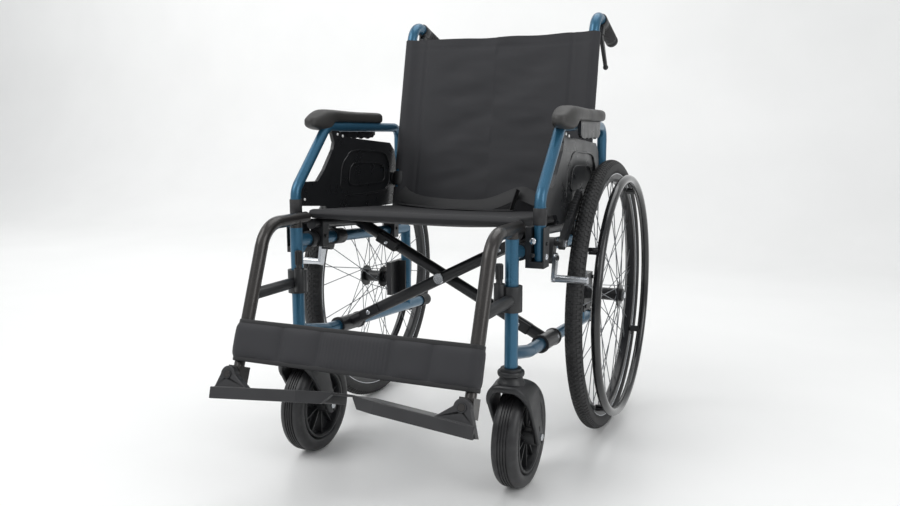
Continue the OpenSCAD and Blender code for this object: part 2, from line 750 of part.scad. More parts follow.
// Parking brake shoe: arm with the cross bar that presses on the tyre
module brake_shoe(s) {
    arm_t = 7;
    bar_l = 72;
    color(bright_metal) side(s) difference() {
        union() {
            upright(mount_x + air) link(shoe_axis, shoe_end, 10, 8, arm_t);
            upright(mount_x + air) translate(shoe_end) cylinder(r = 6.5, h = bar_l);
        }
        upright(mount_x - 1) translate(shoe_axis) cylinder(r = 5 + slip, h = arm_t + 3);
    }
}

// Half of the cross brace: sleeve on one lower tube, arm, and the other side's seat rail
module brace_half(n) {
    arm_l = norm([frame_x + rail_x, rail_up]);
    color(tube_black) translate([0, shift_y, 0]) raked() difference() {
        union() {
            translate([frame_x, n - sleeve_l / 2, 0]) rotate([-90, 0, 0]) cylinder(r = clamp_r, h = sleeve_l);
            translate([frame_x, n, 0]) rotate([0, brace_angle - 90, 0]) cylinder(r = post_r, h = arm_l);
            translate([-rail_x, along(rail_front, rail_up), rail_up]) rotate([-90, 0, 0])
                cylinder(d = rail_d, h = along(rail_rear, rail_up) - along(rail_front, rail_up));
        }
        translate([frame_x, n - sleeve_l, 0]) rotate([-90, 0, 0])
            cylinder(r = post_r + slip, h = 2 * sleeve_l);
        translate([0, n - post_r - 1, bolt_up]) rotate([-90, 0, 0]) cylinder(r = pin_r + slip, h = frame_d + 2);
    }
}

module brace_front() {
    mirror([1, 0, 0]) brace_half(front_n);
}

module brace_rear() {
    brace_half(rear_n);
}

// Bolt through the middle of the brace
module brace_bolt() {
    reach = brace_gap + frame_d;
    color(bright_metal) translate([0, shift_y, 0]) raked()
        translate([0, front_n - post_r - 1, bolt_up]) rotate([-90, 0, 0]) {
            cylinder(r = pin_r, h = reach + 2);
            translate([0, 0, -5]) cylinder(r = 11, h = 5.5);
            translate([0, 0, reach + 1.5]) cylinder(r = 11, h = 6);
        }
}

// Seat sling: padded cloth across the two seat rails
module seat_sling() {
    over = rail_up + rail_d / 2 + air;
    n0 = along(-seat_reach, over);
    color(cloth_black) translate([0, shift_y, 0]) raked() translate([0, n0, over + seat_t / 2])
        rotate([-90, 0, 0]) linear_extrude(along(-25, over) - n0)
            soft_rect(2 * rail_x + rail_d - 4, seat_t, 8);
}

// Back sling: cloth panel with a sleeve round each cane
module back_sling() {
    sleeve_in = post_r + air;
    sleeve_out = sleeve_in + back_t;
    low = (470 - cane_foot[1]) / cos(back_lean);
    high = (back_top_z - 2 - cane_foot[1]) / cos(back_lean);
    window = (arm_hinge_z - cane_foot[1]) / cos(back_lean) - 22;
    color(cloth_black) translate([0, shift_y, 0]) on_cane(0) difference() {
        translate([0, 0, low]) linear_extrude(high - low) difference() {
            union() {
                for (x = [-cane_x, cane_x]) translate([x, 0]) circle(r = sleeve_out);
                translate([-cane_x, -sleeve_out]) square([2 * cane_x, back_t]);
            }
            for (x = [-cane_x, cane_x]) translate([x, 0]) circle(r = sleeve_in);
        }
        for (x = [-cane_x, cane_x]) translate([x - 24, -sleeve_out - 1, window]) cube([48, 60, 44]);
    }
}

// Calf strap across the front of the hangers
module calf_strap() {
    strap_t = 4;
    over = 14;
    color(cloth_black) translate([0, shift_y + leg_y(strap_z), strap_z]) rotate([-hanger_lean, 0, 0])
        translate([-frame_x - over, -post_r - air - strap_t, -strap_h / 2])
            cube([2 * (frame_x + over), strap_t, strap_h]);
}

side_frame(1);  // side_frame_left
side_frame(-1);  // side_frame_right
back_cane(1);  // back_cane_left
back_cane(-1);  // back_cane_right
push_grip(1);  // push_grip_left
push_grip(-1);  // push_grip_right
grip_bracket(1);  // grip_bracket_left
grip_bracket(-1);  // grip_bracket_right
attendant_lever(1);  // attendant_lever_left
attendant_lever(-1);  // attendant_lever_right
tipping_tip(1);  // tipping_tip_left
tipping_tip(-1);  // tipping_tip_right
axle_block(1);  // axle_block_left
axle_block(-1);  // axle_block_right
seat_saddles(1);  // seat_saddles_left
seat_saddles(-1);  // seat_saddles_right
arm_socket(1);  // arm_socket_left
arm_socket(-1);  // arm_socket_right
arm_hinge(1);  // arm_hinge_left
arm_hinge(-1);  // arm_hinge_right
armrest_tube(1);  // armrest_tube_left
armrest_tube(-1);  // armrest_tube_right
arm_pad(1);  // arm_pad_left
arm_pad(-1);  // arm_pad_right
side_panel(1);  // side_panel_left
side_panel(-1);  // side_panel_right
rear_tyre(1);  // rear_tyre_left
rear_tyre(-1);  // rear_tyre_right
rear_rim(1);  // rear_rim_left
rear_rim(-1);  // rear_rim_right
rear_hub(1);  // rear_hub_left
rear_hub(-1);  // rear_hub_right
handrim(1);  // handrim_left
handrim(-1);  // handrim_right
caster_fork(1);  // caster_fork_left
caster_fork(-1);  // caster_fork_right
caster_tyre(1);  // caster_tyre_left
caster_tyre(-1);  // caster_tyre_right
caster_rim(1);  // caster_rim_left
caster_rim(-1);  // caster_rim_right
hanger(1);  // hanger_left
hanger(-1);  // hanger_right
hanger_clamp(1);  // hanger_clamp_left
hanger_clamp(-1);  // hanger_clamp_right
footrest_rod(1);  // footrest_rod_left
footrest_rod(-1);  // footrest_rod_right
footplate(1);  // footplate_left
footplate(-1);  // footplate_right
brake_mount(1);  // brake_mount_left
brake_mount(-1);  // brake_mount_right
brake_lever(1);  // brake_lever_left
brake_lever(-1);  // brake_lever_right
brake_shoe(1);  // brake_shoe_left
brake_shoe(-1);  // brake_shoe_right
brace_front();
brace_rear();
brace_bolt();
seat_sling();
back_sling();
calf_strap();
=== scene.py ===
"""Finishes, upholstery and details of a folding wheelchair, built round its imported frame."""

import json
import math

import bmesh
import bpy
from bpy.props import FloatProperty, FloatVectorProperty, IntProperty, PointerProperty, StringProperty
from mathutils import Matrix, Vector, noise


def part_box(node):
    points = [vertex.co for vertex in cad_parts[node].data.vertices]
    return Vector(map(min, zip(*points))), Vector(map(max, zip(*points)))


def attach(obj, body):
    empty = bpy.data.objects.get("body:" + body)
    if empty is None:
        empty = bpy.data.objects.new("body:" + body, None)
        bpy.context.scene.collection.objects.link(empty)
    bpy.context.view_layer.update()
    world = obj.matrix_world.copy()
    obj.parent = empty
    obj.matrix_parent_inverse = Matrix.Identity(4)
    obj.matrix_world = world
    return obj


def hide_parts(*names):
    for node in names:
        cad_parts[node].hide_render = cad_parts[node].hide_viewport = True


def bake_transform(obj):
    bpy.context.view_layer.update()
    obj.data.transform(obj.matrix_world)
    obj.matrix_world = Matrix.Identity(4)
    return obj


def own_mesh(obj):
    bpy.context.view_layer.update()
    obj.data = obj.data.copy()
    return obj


bl_info = {
    "name": "Folding Wheelchair Finish",
    "version": (1, 0, 0),
    "blender": (4, 5, 0),
    "location": "View3D > Sidebar > Wheelchair",
    "description": "Upholstery, tyres, fittings and finishes of a folding wheelchair",
    "category": "Add Mesh",
}

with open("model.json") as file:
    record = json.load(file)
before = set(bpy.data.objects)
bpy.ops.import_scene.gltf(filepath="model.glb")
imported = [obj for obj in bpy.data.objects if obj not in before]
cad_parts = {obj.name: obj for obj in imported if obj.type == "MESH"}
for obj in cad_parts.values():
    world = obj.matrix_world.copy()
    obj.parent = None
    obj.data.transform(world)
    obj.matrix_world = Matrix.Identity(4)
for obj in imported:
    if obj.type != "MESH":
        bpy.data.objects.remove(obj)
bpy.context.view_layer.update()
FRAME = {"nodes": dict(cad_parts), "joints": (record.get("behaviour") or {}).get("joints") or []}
MM = 0.001
SIDES = (("left", 1), ("right", -1))


def middle(node):
    """The middle of a frame node's box."""
    low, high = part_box(node)
    return (low + high) / 2


def half(node):
    """Half of the size of a frame node's box."""
    low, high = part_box(node)
    return (high - low) / 2


WHEEL = middle("rear_tyre_left")
WHEEL_R = half("rear_tyre_left").z
CASTER = middle("caster_tyre_left")
CASTER_R = half("caster_tyre_left").z
CANE_X = middle("back_cane_left").x
SWING_AT = {j["name"]: Vector(j["pos_m"]) for j in FRAME["joints"]}
FRAME_X = SWING_AT["fold"].x
POST_Y = SWING_AT["caster_swivel_left"].y
BRACE_ANGLE = math.radians(27.02)
HANGER_LEAN = math.radians(20.5)
RAKE = math.radians(3.2)
FLANGE_R = 26.5 * MM  # radius of the hub's flanges
MIDDLING = (0.3, 0.7)  # where most of a noise's values lie


# ---------------------------------------------------------------- colours and nodes


def linear(code):
    """Turns an sRGB hex code into linear RGBA."""
    values = [int(code[i:i + 2], 16) / 255 for i in (1, 3, 5)]
    return [v / 12.92 if v <= 0.04045 else ((v + 0.055) / 1.055) ** 2.4 for v in values] + [1.0]


def add(tree, kind, sockets=None, **settings):
    """Adds a shader node with its settings, and sets or links its input sockets."""
    node = tree.nodes.new("ShaderNode" + kind)
    for name, value in settings.items():
        setattr(node, name, value)
    for name, value in (sockets or {}).items():
        if isinstance(value, bpy.types.NodeSocket):
            tree.links.new(value, node.inputs[name])
        else:
            node.inputs[name].default_value = value
    return node


def blank(name, slot):
    """A new material with its shader, object coordinates, and the record's slot it belongs to."""
    made = bpy.data.materials.new(name)
    made.use_nodes = True
    made["slot"] = slot
    tree = made.node_tree
    return tree, tree.nodes["Principled BSDF"], add(tree, "TexCoord").outputs["Object"]


def dress(tree, shader, tint, gloss=None, skin=None, **plain):
    """Gives a shader its colour, roughness and relief, and the values that don't vary.

    tint is (share, colour, other colour), gloss is (share, its limits, roughness at each limit) and
    skin is (height, strength, depth).
    """
    mixed = add(tree, "Mix", dict(zip((0, 6, 7), tint)), data_type="RGBA")
    tree.links.new(mixed.outputs[2], shader.inputs["Base Color"])
    if gloss:
        share, limits, rough = gloss
        ranged = add(tree, "MapRange", {"Value": share, "From Min": limits[0], "From Max": limits[1],
                                        "To Min": rough[0], "To Max": rough[1]})
        tree.links.new(ranged.outputs[0], shader.inputs["Roughness"])
    if skin:
        bump = add(tree, "Bump", dict(zip(("Height", "Strength", "Distance"), skin)))
        tree.links.new(bump.outputs[0], shader.inputs["Normal"])
    for name, value in plain.items():
        shader.inputs[name.replace("_", " ")].default_value = value


def lighter(colour, gain, lift=0.0):
    """A linear colour made from an sRGB code and brightened."""
    return [min(1, c * gain + lift) for c in linear(colour)[:3]] + [1]


def powder_coated_steel(name, slot, colour, flake, roughness, metallic, coat):
    """Steel tube, powder coated and baked: a satin skin with faint orange peel and fine flake."""
    tree, shader, place = blank(name, slot)
    flakes = add(tree, "TexNoise", {"Vector": place, "Scale": 1 / (1.6 * MM), "Detail": 1.0})
    peel = add(tree, "TexNoise", {"Vector": place, "Scale": 1 / (5 * MM), "Detail": 2.0})
    handled = add(tree, "TexNoise", {"Vector": place, "Scale": 1 / (60 * MM), "Detail": 3.0})
    dress(tree, shader, (flakes.outputs["Fac"], linear(colour), linear(flake)),
          (handled.outputs["Fac"], MIDDLING, (roughness - 0.05, roughness + 0.07)),
          (peel.outputs["Fac"], 0.08, 0.2 * MM), Metallic=metallic, Coat_Weight=coat, Coat_Roughness=0.12)


def moulded_nylon(name, slot, colour, roughness, grain, relief=0.12):
    """Glass-filled nylon, injection moulded with a spark-eroded grain: soft broken highlights."""
    tree, shader, place = blank(name, slot)
    cells = add(tree, "TexVoronoi", {"Vector": place, "Scale": 1 / (grain * MM)})
    flow = add(tree, "TexNoise", {"Vector": place, "Scale": 1 / (35 * MM), "Detail": 3.0})
    dress(tree, shader, (flow.outputs["Fac"], linear(colour), lighter(colour, 1.45, 0.002)),
          (flow.outputs["Fac"], MIDDLING, (roughness - 0.05, roughness + 0.07)),
          (cells.outputs["Distance"], relief, 0.2 * MM), IOR=1.53)


def vulcanised_rubber(name, slot, colour, roughness):
    """Filled rubber, press moulded: matt, a little dusty where it meets the floor and the hand."""
    tree, shader, place = blank(name, slot)
    dust = add(tree, "TexNoise", {"Vector": place, "Scale": 1 / (18 * MM), "Detail": 4.0})
    pores = add(tree, "TexNoise", {"Vector": place, "Scale": 1 / (1.5 * MM), "Detail": 2.0})
    share = add(tree, "MapRange", {"Value": dust.outputs["Fac"], "From Min": 0.42, "From Max": 0.75})
    dress(tree, shader, (share.outputs[0], linear(colour), lighter(colour, 1, 0.018)),
          (dust.outputs["Fac"], (0, 1), (roughness - 0.08, roughness + 0.1)),
          (pores.outputs["Fac"], 0.2, 0.2 * MM), IOR=1.52)


def woven_nylon(name, slot, warp, weft, across, up, thread):
    """Coated nylon cloth in plain weave: grey-black with a faint sheen along the threads.

    across and up are the numbers of the axes that the threads follow. The threads are drawn
    coarser than the real ones, about 0.5 mm, so that they show.
    """
    tree, shader, place = blank(name, slot)
    axes = add(tree, "SeparateXYZ", {0: place}).outputs
    turns = 2 * math.pi / (thread * MM)
    waves = []
    for axis in (across, up):
        angle = add(tree, "Math", {0: axes[axis], 1: turns}, operation="MULTIPLY")
        waves.append(add(tree, "Math", {0: angle.outputs[0]}, operation="SINE").outputs[0])
    weave = add(tree, "Math", {0: waves[0], 1: waves[1]}, operation="MULTIPLY")
    share = add(tree, "MapRange", {"Value": weave.outputs[0], "From Min": -1, "From Max": 1})
    cloud = add(tree, "TexNoise", {"Vector": place, "Scale": 1 / (45 * MM), "Detail": 4.0})
    threads = add(tree, "Mix", {0: share.outputs[0], 6: linear(warp), 7: linear(weft)}, data_type="RGBA")
    dress(tree, shader, (cloud.outputs["Fac"], threads.outputs[2], linear(weft)), None,
          (share.outputs[0], 0.35, 0.3 * MM), Roughness=0.7, Sheen_Weight=0.05, Sheen_Roughness=0.45)


def woven_webbing(name, slot, colour, pitch):
    """Polyester webbing and bias tape, woven tight: fine ribs across it and a dull shine."""
    tree, shader, place = blank(name, slot)
    ribs = add(tree, "TexWave", {"Vector": place, "Scale": 0.314 / (pitch * MM)}, bands_direction="DIAGONAL")
    dress(tree, shader, (ribs.outputs["Fac"], linear(colour), lighter(colour, 1.8)), None,
          (ribs.outputs["Fac"], 0.3, 0.3 * MM), Roughness=0.6, Sheen_Weight=0.06)


def skinned_foam(name, slot, colour):
    """Integral-skin polyurethane, moulded in a leather-grained tool: dull, soft, finely pebbled."""
    tree, shader, place = blank(name, slot)
    pebbles = add(tree, "TexVoronoi", {"Vector": place, "Scale": 1 / (1.8 * MM)}, feature="SMOOTH_F1")
    rub = add(tree, "TexNoise", {"Vector": place, "Scale": 1 / (40 * MM), "Detail": 3.0})
    dress(tree, shader, (rub.outputs["Fac"], linear(colour), lighter(colour, 1.5)),
          (rub.outputs["Fac"], MIDDLING, (0.42, 0.6)), (pebbles.outputs["Distance"], 0.25, 0.3 * MM), IOR=1.5)


def plated_steel(name, slot, colour, roughness):
    """Steel, zinc or chrome plated and tumbled: a bright metal with faint handling marks."""
    tree, shader, place = blank(name, slot)
    marks = add(tree, "TexNoise", {"Vector": place, "Scale": 1 / (4 * MM), "Detail": 3.0})
    dress(tree, shader, (marks.outputs["Fac"], linear(colour), lighter(colour, 0.93)),
          (marks.outputs["Fac"], (0, 1), (roughness - 0.03, roughness + 0.05)), Metallic=1.0)


def laced_hub(name, slot):
    """Black anodised hub laced with stainless wire: grey metal outside the flanges, black within."""
    tree, shader, place = blank(name, slot)
    spot = add(tree, "SeparateXYZ", {0: place}).outputs
    flat = add(tree, "CombineXYZ", {1: spot[1], 2: spot[2]})
    reach = add(tree, "VectorMath", {0: flat.outputs[0], 1: (0, WHEEL.y, WHEEL.z)}, operation="DISTANCE")
    wire = add(tree, "Math", {0: reach.outputs["Value"], 1: FLANGE_R}, operation="GREATER_THAN")
    tree.links.new(wire.outputs[0], shader.inputs["Metallic"])
    dress(tree, shader, (wire.outputs[0], linear("#1b1b1d"), linear("#74777b")), Roughness=0.38)


def polished_floor(name):
    """Sealed pale screed, power floated: nearly white with a soft, blurred reflection."""
    tree, shader, place = blank(name, "")
    cloud = add(tree, "TexNoise", {"Vector": place, "Scale": 2.5, "Detail": 4.0})
    dress(tree, shader, (cloud.outputs["Fac"], linear("#f0f0ef"), linear("#f7f7f6")), Roughness=0.32,
          Specular_IOR_Level=0.35)


# ---------------------------------------------------------------- making meshes


def piece(name, parts, surface, body="", slope=38):
    """Makes a shaded object from (points, faces) parts and lets it ride on a body."""
    mesh = bpy.data.meshes.new(name)
    points, faces = [], []
    for part_points, part_faces in parts:
        first = len(points)
        points += [tuple(p) for p in part_points]
        faces += [[first + i for i in face] for face in part_faces]
    mesh.from_pydata(points, [], faces)
    build = bmesh.new()
    build.from_mesh(mesh)
    bmesh.ops.recalc_face_normals(build, faces=build.faces)
    build.to_mesh(mesh)
    build.free()
    mesh.polygons.foreach_set("use_smooth", [True] * len(mesh.polygons))
    mesh.set_sharp_from_angle(angle=math.radians(slope))
    made = bpy.data.objects.new(name, mesh)
    bpy.context.scene.collection.objects.link(made)
    mesh.materials.append(bpy.data.materials[surface])
    if body:
        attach(made, body)
    return made


def mirrored(parts, sign):
    """Parts drawn for the left side, turned over to the right where sign is -1."""
    return [([(sign * p[0], p[1], p[2]) for p in points], faces) for points, faces in parts]


def pair(name, parts, surface, body, slope=38):
    """Makes left and right pieces from parts drawn for the left. {} in the body's name is the side."""
    return [piece(name + "_" + side, mirrored(parts, sign), surface, body.format(side), slope)
            for side, sign in SIDES]


def stand_in(pieces, stem):
    """Lets a pair of pieces take the place of a pair of frame nodes."""
    for made, side in zip(pieces, SIDES):
        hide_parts(stem + "_" + side[0])


def loft(rings, closed_ring=True, capped=True, joined=False):
    """Skins a row of rings that all have as many points. joined closes the row on itself."""
    count = len(rings[0])
    points = [p for ring in rings for p in ring]
    faces = []
    rows = len(rings) if joined else len(rings) - 1
    for i in range(rows):
        a, b = i * count, (i + 1) % len(rings) * count
        for j in range(count if closed_ring else count - 1):
            k = (j + 1) % count
            faces.append([a + j, a + k, b + k, b + j])
    if capped and closed_ring and not joined:
        faces.append(list(range(count))[::-1])
        faces.append([(len(rings) - 1) * count + j for j in range(count)])
    return points, faces


def lathe(profile, centre, axis, steps=48, closed=False):
    """Turns a profile of (distance along the axis, radius) round the axis."""
    axis = Vector(axis).normalized()
    side = axis.orthogonal().normalized()
    other = axis.cross(side)
    rings = []
    for along, radius in profile:
        ring = []
        for i in range(steps):
            turn = 2 * math.pi * i / steps
            ring.append(Vector(centre) + axis * along
                        + (side * math.cos(turn) + other * math.sin(turn)) * radius)
        rings.append(ring)
    return loft(rings, capped=not closed, joined=closed)


def millimetres(*pairs):
    """Pairs of millimetres as pairs of metres."""
    return [(a * MM, b * MM) for a, b in pairs]


def rounded(half_w, half_h, radius, steps=5):
    """Outline of a rectangle with round corners, anticlockwise."""
    outline = []
    for k, (sx, sy) in enumerate(((1, 1), (-1, 1), (-1, -1), (1, -1))):
        for i in range(steps + 1):
            turn = math.pi / 2 * (k + i / steps)
            outline.append((sx * (half_w - radius) + radius * math.cos(turn),
                            sy * (half_h - radius) + radius * math.sin(turn)))
    return outline


def cloth_loop(half_w, half_h, across, end=4):
    """Outline of a long flat section with many points along both faces and round ends."""
    outline = [(half_w - 2 * half_w * i / across, half_h) for i in range(across + 1)]
    for i in range(1, end):
        turn = math.pi * (0.5 + i / end)
        outline.append((-half_w + half_h * math.cos(turn), half_h * math.sin(turn)))
    outline += [(-half_w + 2 * half_w * i / across, -half_h) for i in range(across + 1)]
    for i in range(1, end):
        turn = math.pi * (1.5 + i / end)
        outline.append((half_w + half_h * math.cos(turn), half_h * math.sin(turn)))
    return outline


def sweep(path, outline, up=(0, 0, 1)):
    """Carries an outline of (sideways, up) points along a path, square to it."""
    rings = []
    for i, point in enumerate(path):
        ahead = (Vector(path[min(i + 1, len(path) - 1)]) - Vector(path[max(i - 1, 0)])).normalized()
        side = ahead.cross(Vector(up)).normalized()
        top = side.cross(ahead)
        rings.append([Vector(point) + side * s + top * t for s, t in outline])
    return loft(rings)


def curve_through(points, steps=8):
    """A smooth line through points, a Catmull-Rom curve."""
    points = [Vector(p) for p in points]
    line = []
    ends = [points[0] * 2 - points[1]] + points + [points[-1] * 2 - points[-2]]
    for a, b, c, d in zip(ends, ends[1:], ends[2:], ends[3:]):
        for i in range(steps):
            t = i / steps
            line.append(0.5 * (2 * b + (c - a) * t + (2 * a - 5 * b + 4 * c - d) * t * t
                               + (3 * b - a - 3 * c + d) * t ** 3))
    return line + [points[-1]]


def cord_outline(radius, steps=10):
    """Outline of a round cord."""
    return [(radius * math.cos(2 * math.pi * i / steps), radius * math.sin(2 * math.pi * i / steps))
            for i in range(steps)]


def bolt(at, axis, radius, height, sides=0):
    """A bolt head: a hexagon where sides is 6, a flat dome where it is 0."""
    if sides:
        profile = [(0, radius), (height * 0.8, radius), (height, radius * 0.86), (height, 0.2 * radius)]
        return lathe(profile, at, axis, steps=sides)
    profile = [(0, radius), (height * 0.35, radius)]
    profile += [(height * (0.35 + 0.65 * math.sin(t)), radius * math.cos(t)) for t in (0.5, 0.9, 1.3)]
    return lathe(profile + [(height, 0.1 * radius)], at, axis, steps=20)


def box_part(centre, size, turn=None, radius=0.0):
    """A block with rounded upright edges, turned about its own middle."""
    half_w, half_l, half_h = (v / 2 for v in size)
    radius = radius or min(half_w, half_l) * 0.3
    outline = rounded(half_w, half_l, radius, 3)
    inset = min(radius, half_h) * 0.4
    rings = []
    for z, shrink in ((-half_h, inset), (-half_h + inset, 0), (half_h - inset, 0), (half_h, inset)):
        scale = ((half_w - shrink) / half_w, (half_l - shrink) / half_l)
        rings.append([Vector((x * scale[0], y * scale[1], z)) for x, y in outline])
    turn = turn or Matrix.Identity(3)
    rings = [[Vector(centre) + turn @ p for p in ring] for ring in rings]
    return loft(rings)


def noise_at(x, y, z=0.0):
    """Smooth noise between about -1 and 1, the same at every run."""
    return noise.noise(Vector((x, y, z)))


def smooth(low, high, value):
    """0 below low, 1 above high and a soft step between them."""
    t = max(0.0, min(1.0, (value - low) / (high - low)))
    return t * t * (3 - 2 * t)


# ---------------------------------------------------------------- sizes and colours


def length(name, description, default):
    """A size in metres that the sidebar shows in the scene's unit."""
    return FloatProperty(name=name, description=description, unit="LENGTH", default=default)


class BackSizes(bpy.types.PropertyGroup):
    lean: FloatProperty(name="Lean", description="Lean of the back canes from upright", subtype="ANGLE",
                        default=math.radians(12.2))
    foot_y: length("Foot Y", "Y of the canes' lower end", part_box("back_cane_left")[0].y + 12.2 * MM)
    foot_z: length("Foot Z", "Height of the canes' lower end", 423 * MM)
    seam_x: length("Seam", "Distance of the side seams from the middle", 188 * MM)
    front: length("Front face", "Distance of the cloth's face from the canes' line", 15.3 * MM)
    belly: length("Belly", "How far the cloth sags back between the canes", 9 * MM)
    wrinkle: length("Wrinkle", "Height of the soft wrinkles", 2.6 * MM)


class SeatSizes(bpy.types.PropertyGroup):
    sag: length("Sag", "How far the seat hangs in the middle", 7 * MM)
    thick: length("Thickness", "Thickness of the padded seat", 19 * MM)


class StrapSizes(bpy.types.PropertyGroup):
    height: length("Height", "Height of the calf strap", 77 * MM)
    lean: FloatProperty(name="Lean", description="Lean of the hangers from upright", subtype="ANGLE",
                        default=HANGER_LEAN)
    puff: length("Puff", "How far each quilted panel stands out", 5.2 * MM)


class PadSizes(bpy.types.PropertyGroup):
    nose: length("Nose", "Length of the pad's rounded nose", 58 * MM)


class TyreSizes(bpy.types.PropertyGroup):
    blocks: IntProperty(name="Blocks", description="Tread blocks round a rear tyre", default=168, min=60)
    tread: length("Tread", "Depth of the tread", 1.6 * MM)
    grooves: IntProperty(name="Grooves", description="Grooves round a caster tyre", default=4, min=0)


class PaintColours(bpy.types.PropertyGroup):
    frame: StringProperty(name="Frame", description="sRGB code of the frame's coat", default="#1f4c68")
    flake: StringProperty(name="Flake", description="sRGB code of the coat's flake", default="#356d8a")
    cloth: StringProperty(name="Cloth", description="sRGB code of the cloth's dark threads",
                          default="#191a1c")
    thread: StringProperty(name="Thread", description="sRGB code of the cloth's light threads",
                           default="#29292d")


class StageSizes(bpy.types.PropertyGroup):
    eye: FloatVectorProperty(name="Camera", description="Where the camera stands", subtype="TRANSLATION",
                             default=(0.7080, -1.6117, 0.6690))
    azimuth: FloatProperty(name="Azimuth", description="Camera's turn from straight back", subtype="ANGLE",
                           default=math.radians(23.81))
    pitch: FloatProperty(name="Pitch", description="How far the camera looks down", subtype="ANGLE",
                         default=math.radians(8.4))
    lens: FloatProperty(name="Lens", description="Focal length on a 36 mm sensor", unit="CAMERA",
                        default=32.41)


# ---------------------------------------------------------------- finishes of the frame

FINISH = {
    "powder_coated_blue": ["side_frame", "back_cane", "armrest_tube"],
    "powder_coated_black": ["rear_rim", "axle_block", "brace_front", "brace_rear"],
    "gloss_black_handrim": ["handrim"],
    "pearl_gunmetal": ["hanger", "footrest_rod"],
    "grained_black_nylon": ["grip_bracket", "seat_saddles", "arm_socket", "arm_hinge", "hanger_clamp",
                            "brake_mount", "brake_lever", "caster_rim", "caster_fork", "attendant_lever"],
    "footplate_nylon": ["footplate"],
    "gloss_black_panel": ["side_panel"],
    "moulded_grip_rubber": ["push_grip", "tipping_tip"],
    "bright_zinc": ["brake_shoe", "brace_bolt"],
    "laced_hub": ["rear_hub"],
}
EDGES = {"footplate": 1.4, "arm_socket": 1.6, "seat_saddles": 1.2, "axle_block": 1.2,
         "brake_lever": 2.5, "brake_mount": 1.0, "grip_bracket": 1.2, "brake_shoe": 1.0,
         "footrest_rod": 1.5, "hanger_clamp": 1.2, "caster_rim": 1.0, "arm_hinge": 0.8}


class WHEELCHAIR_OT_finishes(bpy.types.Operator):
    """Makes every material and gives each frame node its finish and softened edges"""
    bl_idname = "wheelchair.finishes"
    bl_label = "Finishes"

    def execute(self, context):
        paint = context.scene.wheelchair_paint
        powder_coated_steel("powder_coated_blue", "blue_paint", paint.frame, paint.flake, 0.32, 0.5, 0.3)
        powder_coated_steel("powder_coated_black", "black_paint", "#161618", "#232427", 0.36, 0.1, 0.15)
        powder_coated_steel("gloss_black_handrim", "black_paint", "#0e0e10", "#1a1b1d", 0.2, 0.1, 0.5)
        powder_coated_steel("pearl_gunmetal", "gunmetal_paint", "#262525", "#4a4745", 0.32, 0.7, 0.3)
        moulded_nylon("grained_black_nylon", "black_plastic", "#17181a", 0.42, 1.2)
        moulded_nylon("footplate_nylon", "black_plastic", "#202022", 0.44, 1.4)
        moulded_nylon("gloss_black_panel", "black_plastic", "#151618", 0.3, 4.0, 0.03)
        # slot_shadow is near-black painted shade for the slots in the caster forks
        moulded_nylon("slot_shadow", "black_plastic", "#050506", 0.9, 2.0)
        moulded_nylon("white_nylon", "bright_steel", "#dcdcd8", 0.4, 1.0)
        vulcanised_rubber("moulded_grip_rubber", "grip_rubber", "#1f1f21", 0.6)
        vulcanised_rubber("tyre_rubber_black", "tyre_rubber", "#1b1b1c", 0.62)
        vulcanised_rubber("caster_polyurethane", "tyre_rubber", "#1d1d1f", 0.42)
        woven_nylon("back_cloth", "black_nylon", paint.cloth, paint.thread, 0, 2, 2.4)
        woven_nylon("seat_cloth", "black_nylon", "#131315", "#1f1f22", 0, 1, 2.4)
        woven_webbing("bound_tape", "black_nylon", "#0e0e10", 2.4)
        skinned_foam("arm_pad_foam", "grip_rubber", "#2e2d2c")
        plated_steel("bright_zinc", "bright_steel", "#c9ccd0", 0.24)
        laced_hub("laced_hub", "black_paint")
        polished_floor("polished_floor")
        for surface, stems in FINISH.items():
            for stem in stems:
                for name in (stem, stem + "_left", stem + "_right"):
                    if name in FRAME["nodes"]:
                        self.finish(FRAME["nodes"][name], surface, EDGES.get(stem, 0))
        return {"FINISHED"}

    @staticmethod
    def finish(node, surface, edge):
        """Gives a frame node its material and, where edge isn't 0, softened edges of that many mm."""
        node.data.materials.clear()
        node.data.materials.append(bpy.data.materials[surface])
        if edge:
            weld = node.modifiers.new("weld", "WELD")
            weld.merge_threshold = 0.02 * MM
            bevel = node.modifiers.new("soft edge", "BEVEL")
            bevel.width = edge * MM
            bevel.segments = 2
            bevel.limit_method = "ANGLE"
            bevel.angle_limit = math.radians(40)
            bevel.use_clamp_overlap = True
            bevel.harden_normals = True


# ---------------------------------------------------------------- upholstery


def hanging(x, half_w):
    """Share of the seat's sag at a distance from its middle."""
    return math.cos(math.pi / 2 * min(1, abs(x) / half_w)) ** 0.8


def across_rails(made):
    """Bakes a piece's placement into its mesh, so it sits between the two seat rails and rides on no body."""
    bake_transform(made)


def round_end(distance, length):
    """Height of a quarter ellipse at a distance from its tip: 0 at the tip, 1 from length on."""
    return math.sqrt(max(0.0, 1 - (1 - min(1.0, distance / length)) ** 2))


def groove(distance, width):
    """A soft bell of height 1 round distance 0."""
    return math.exp(-(distance / width) ** 2)


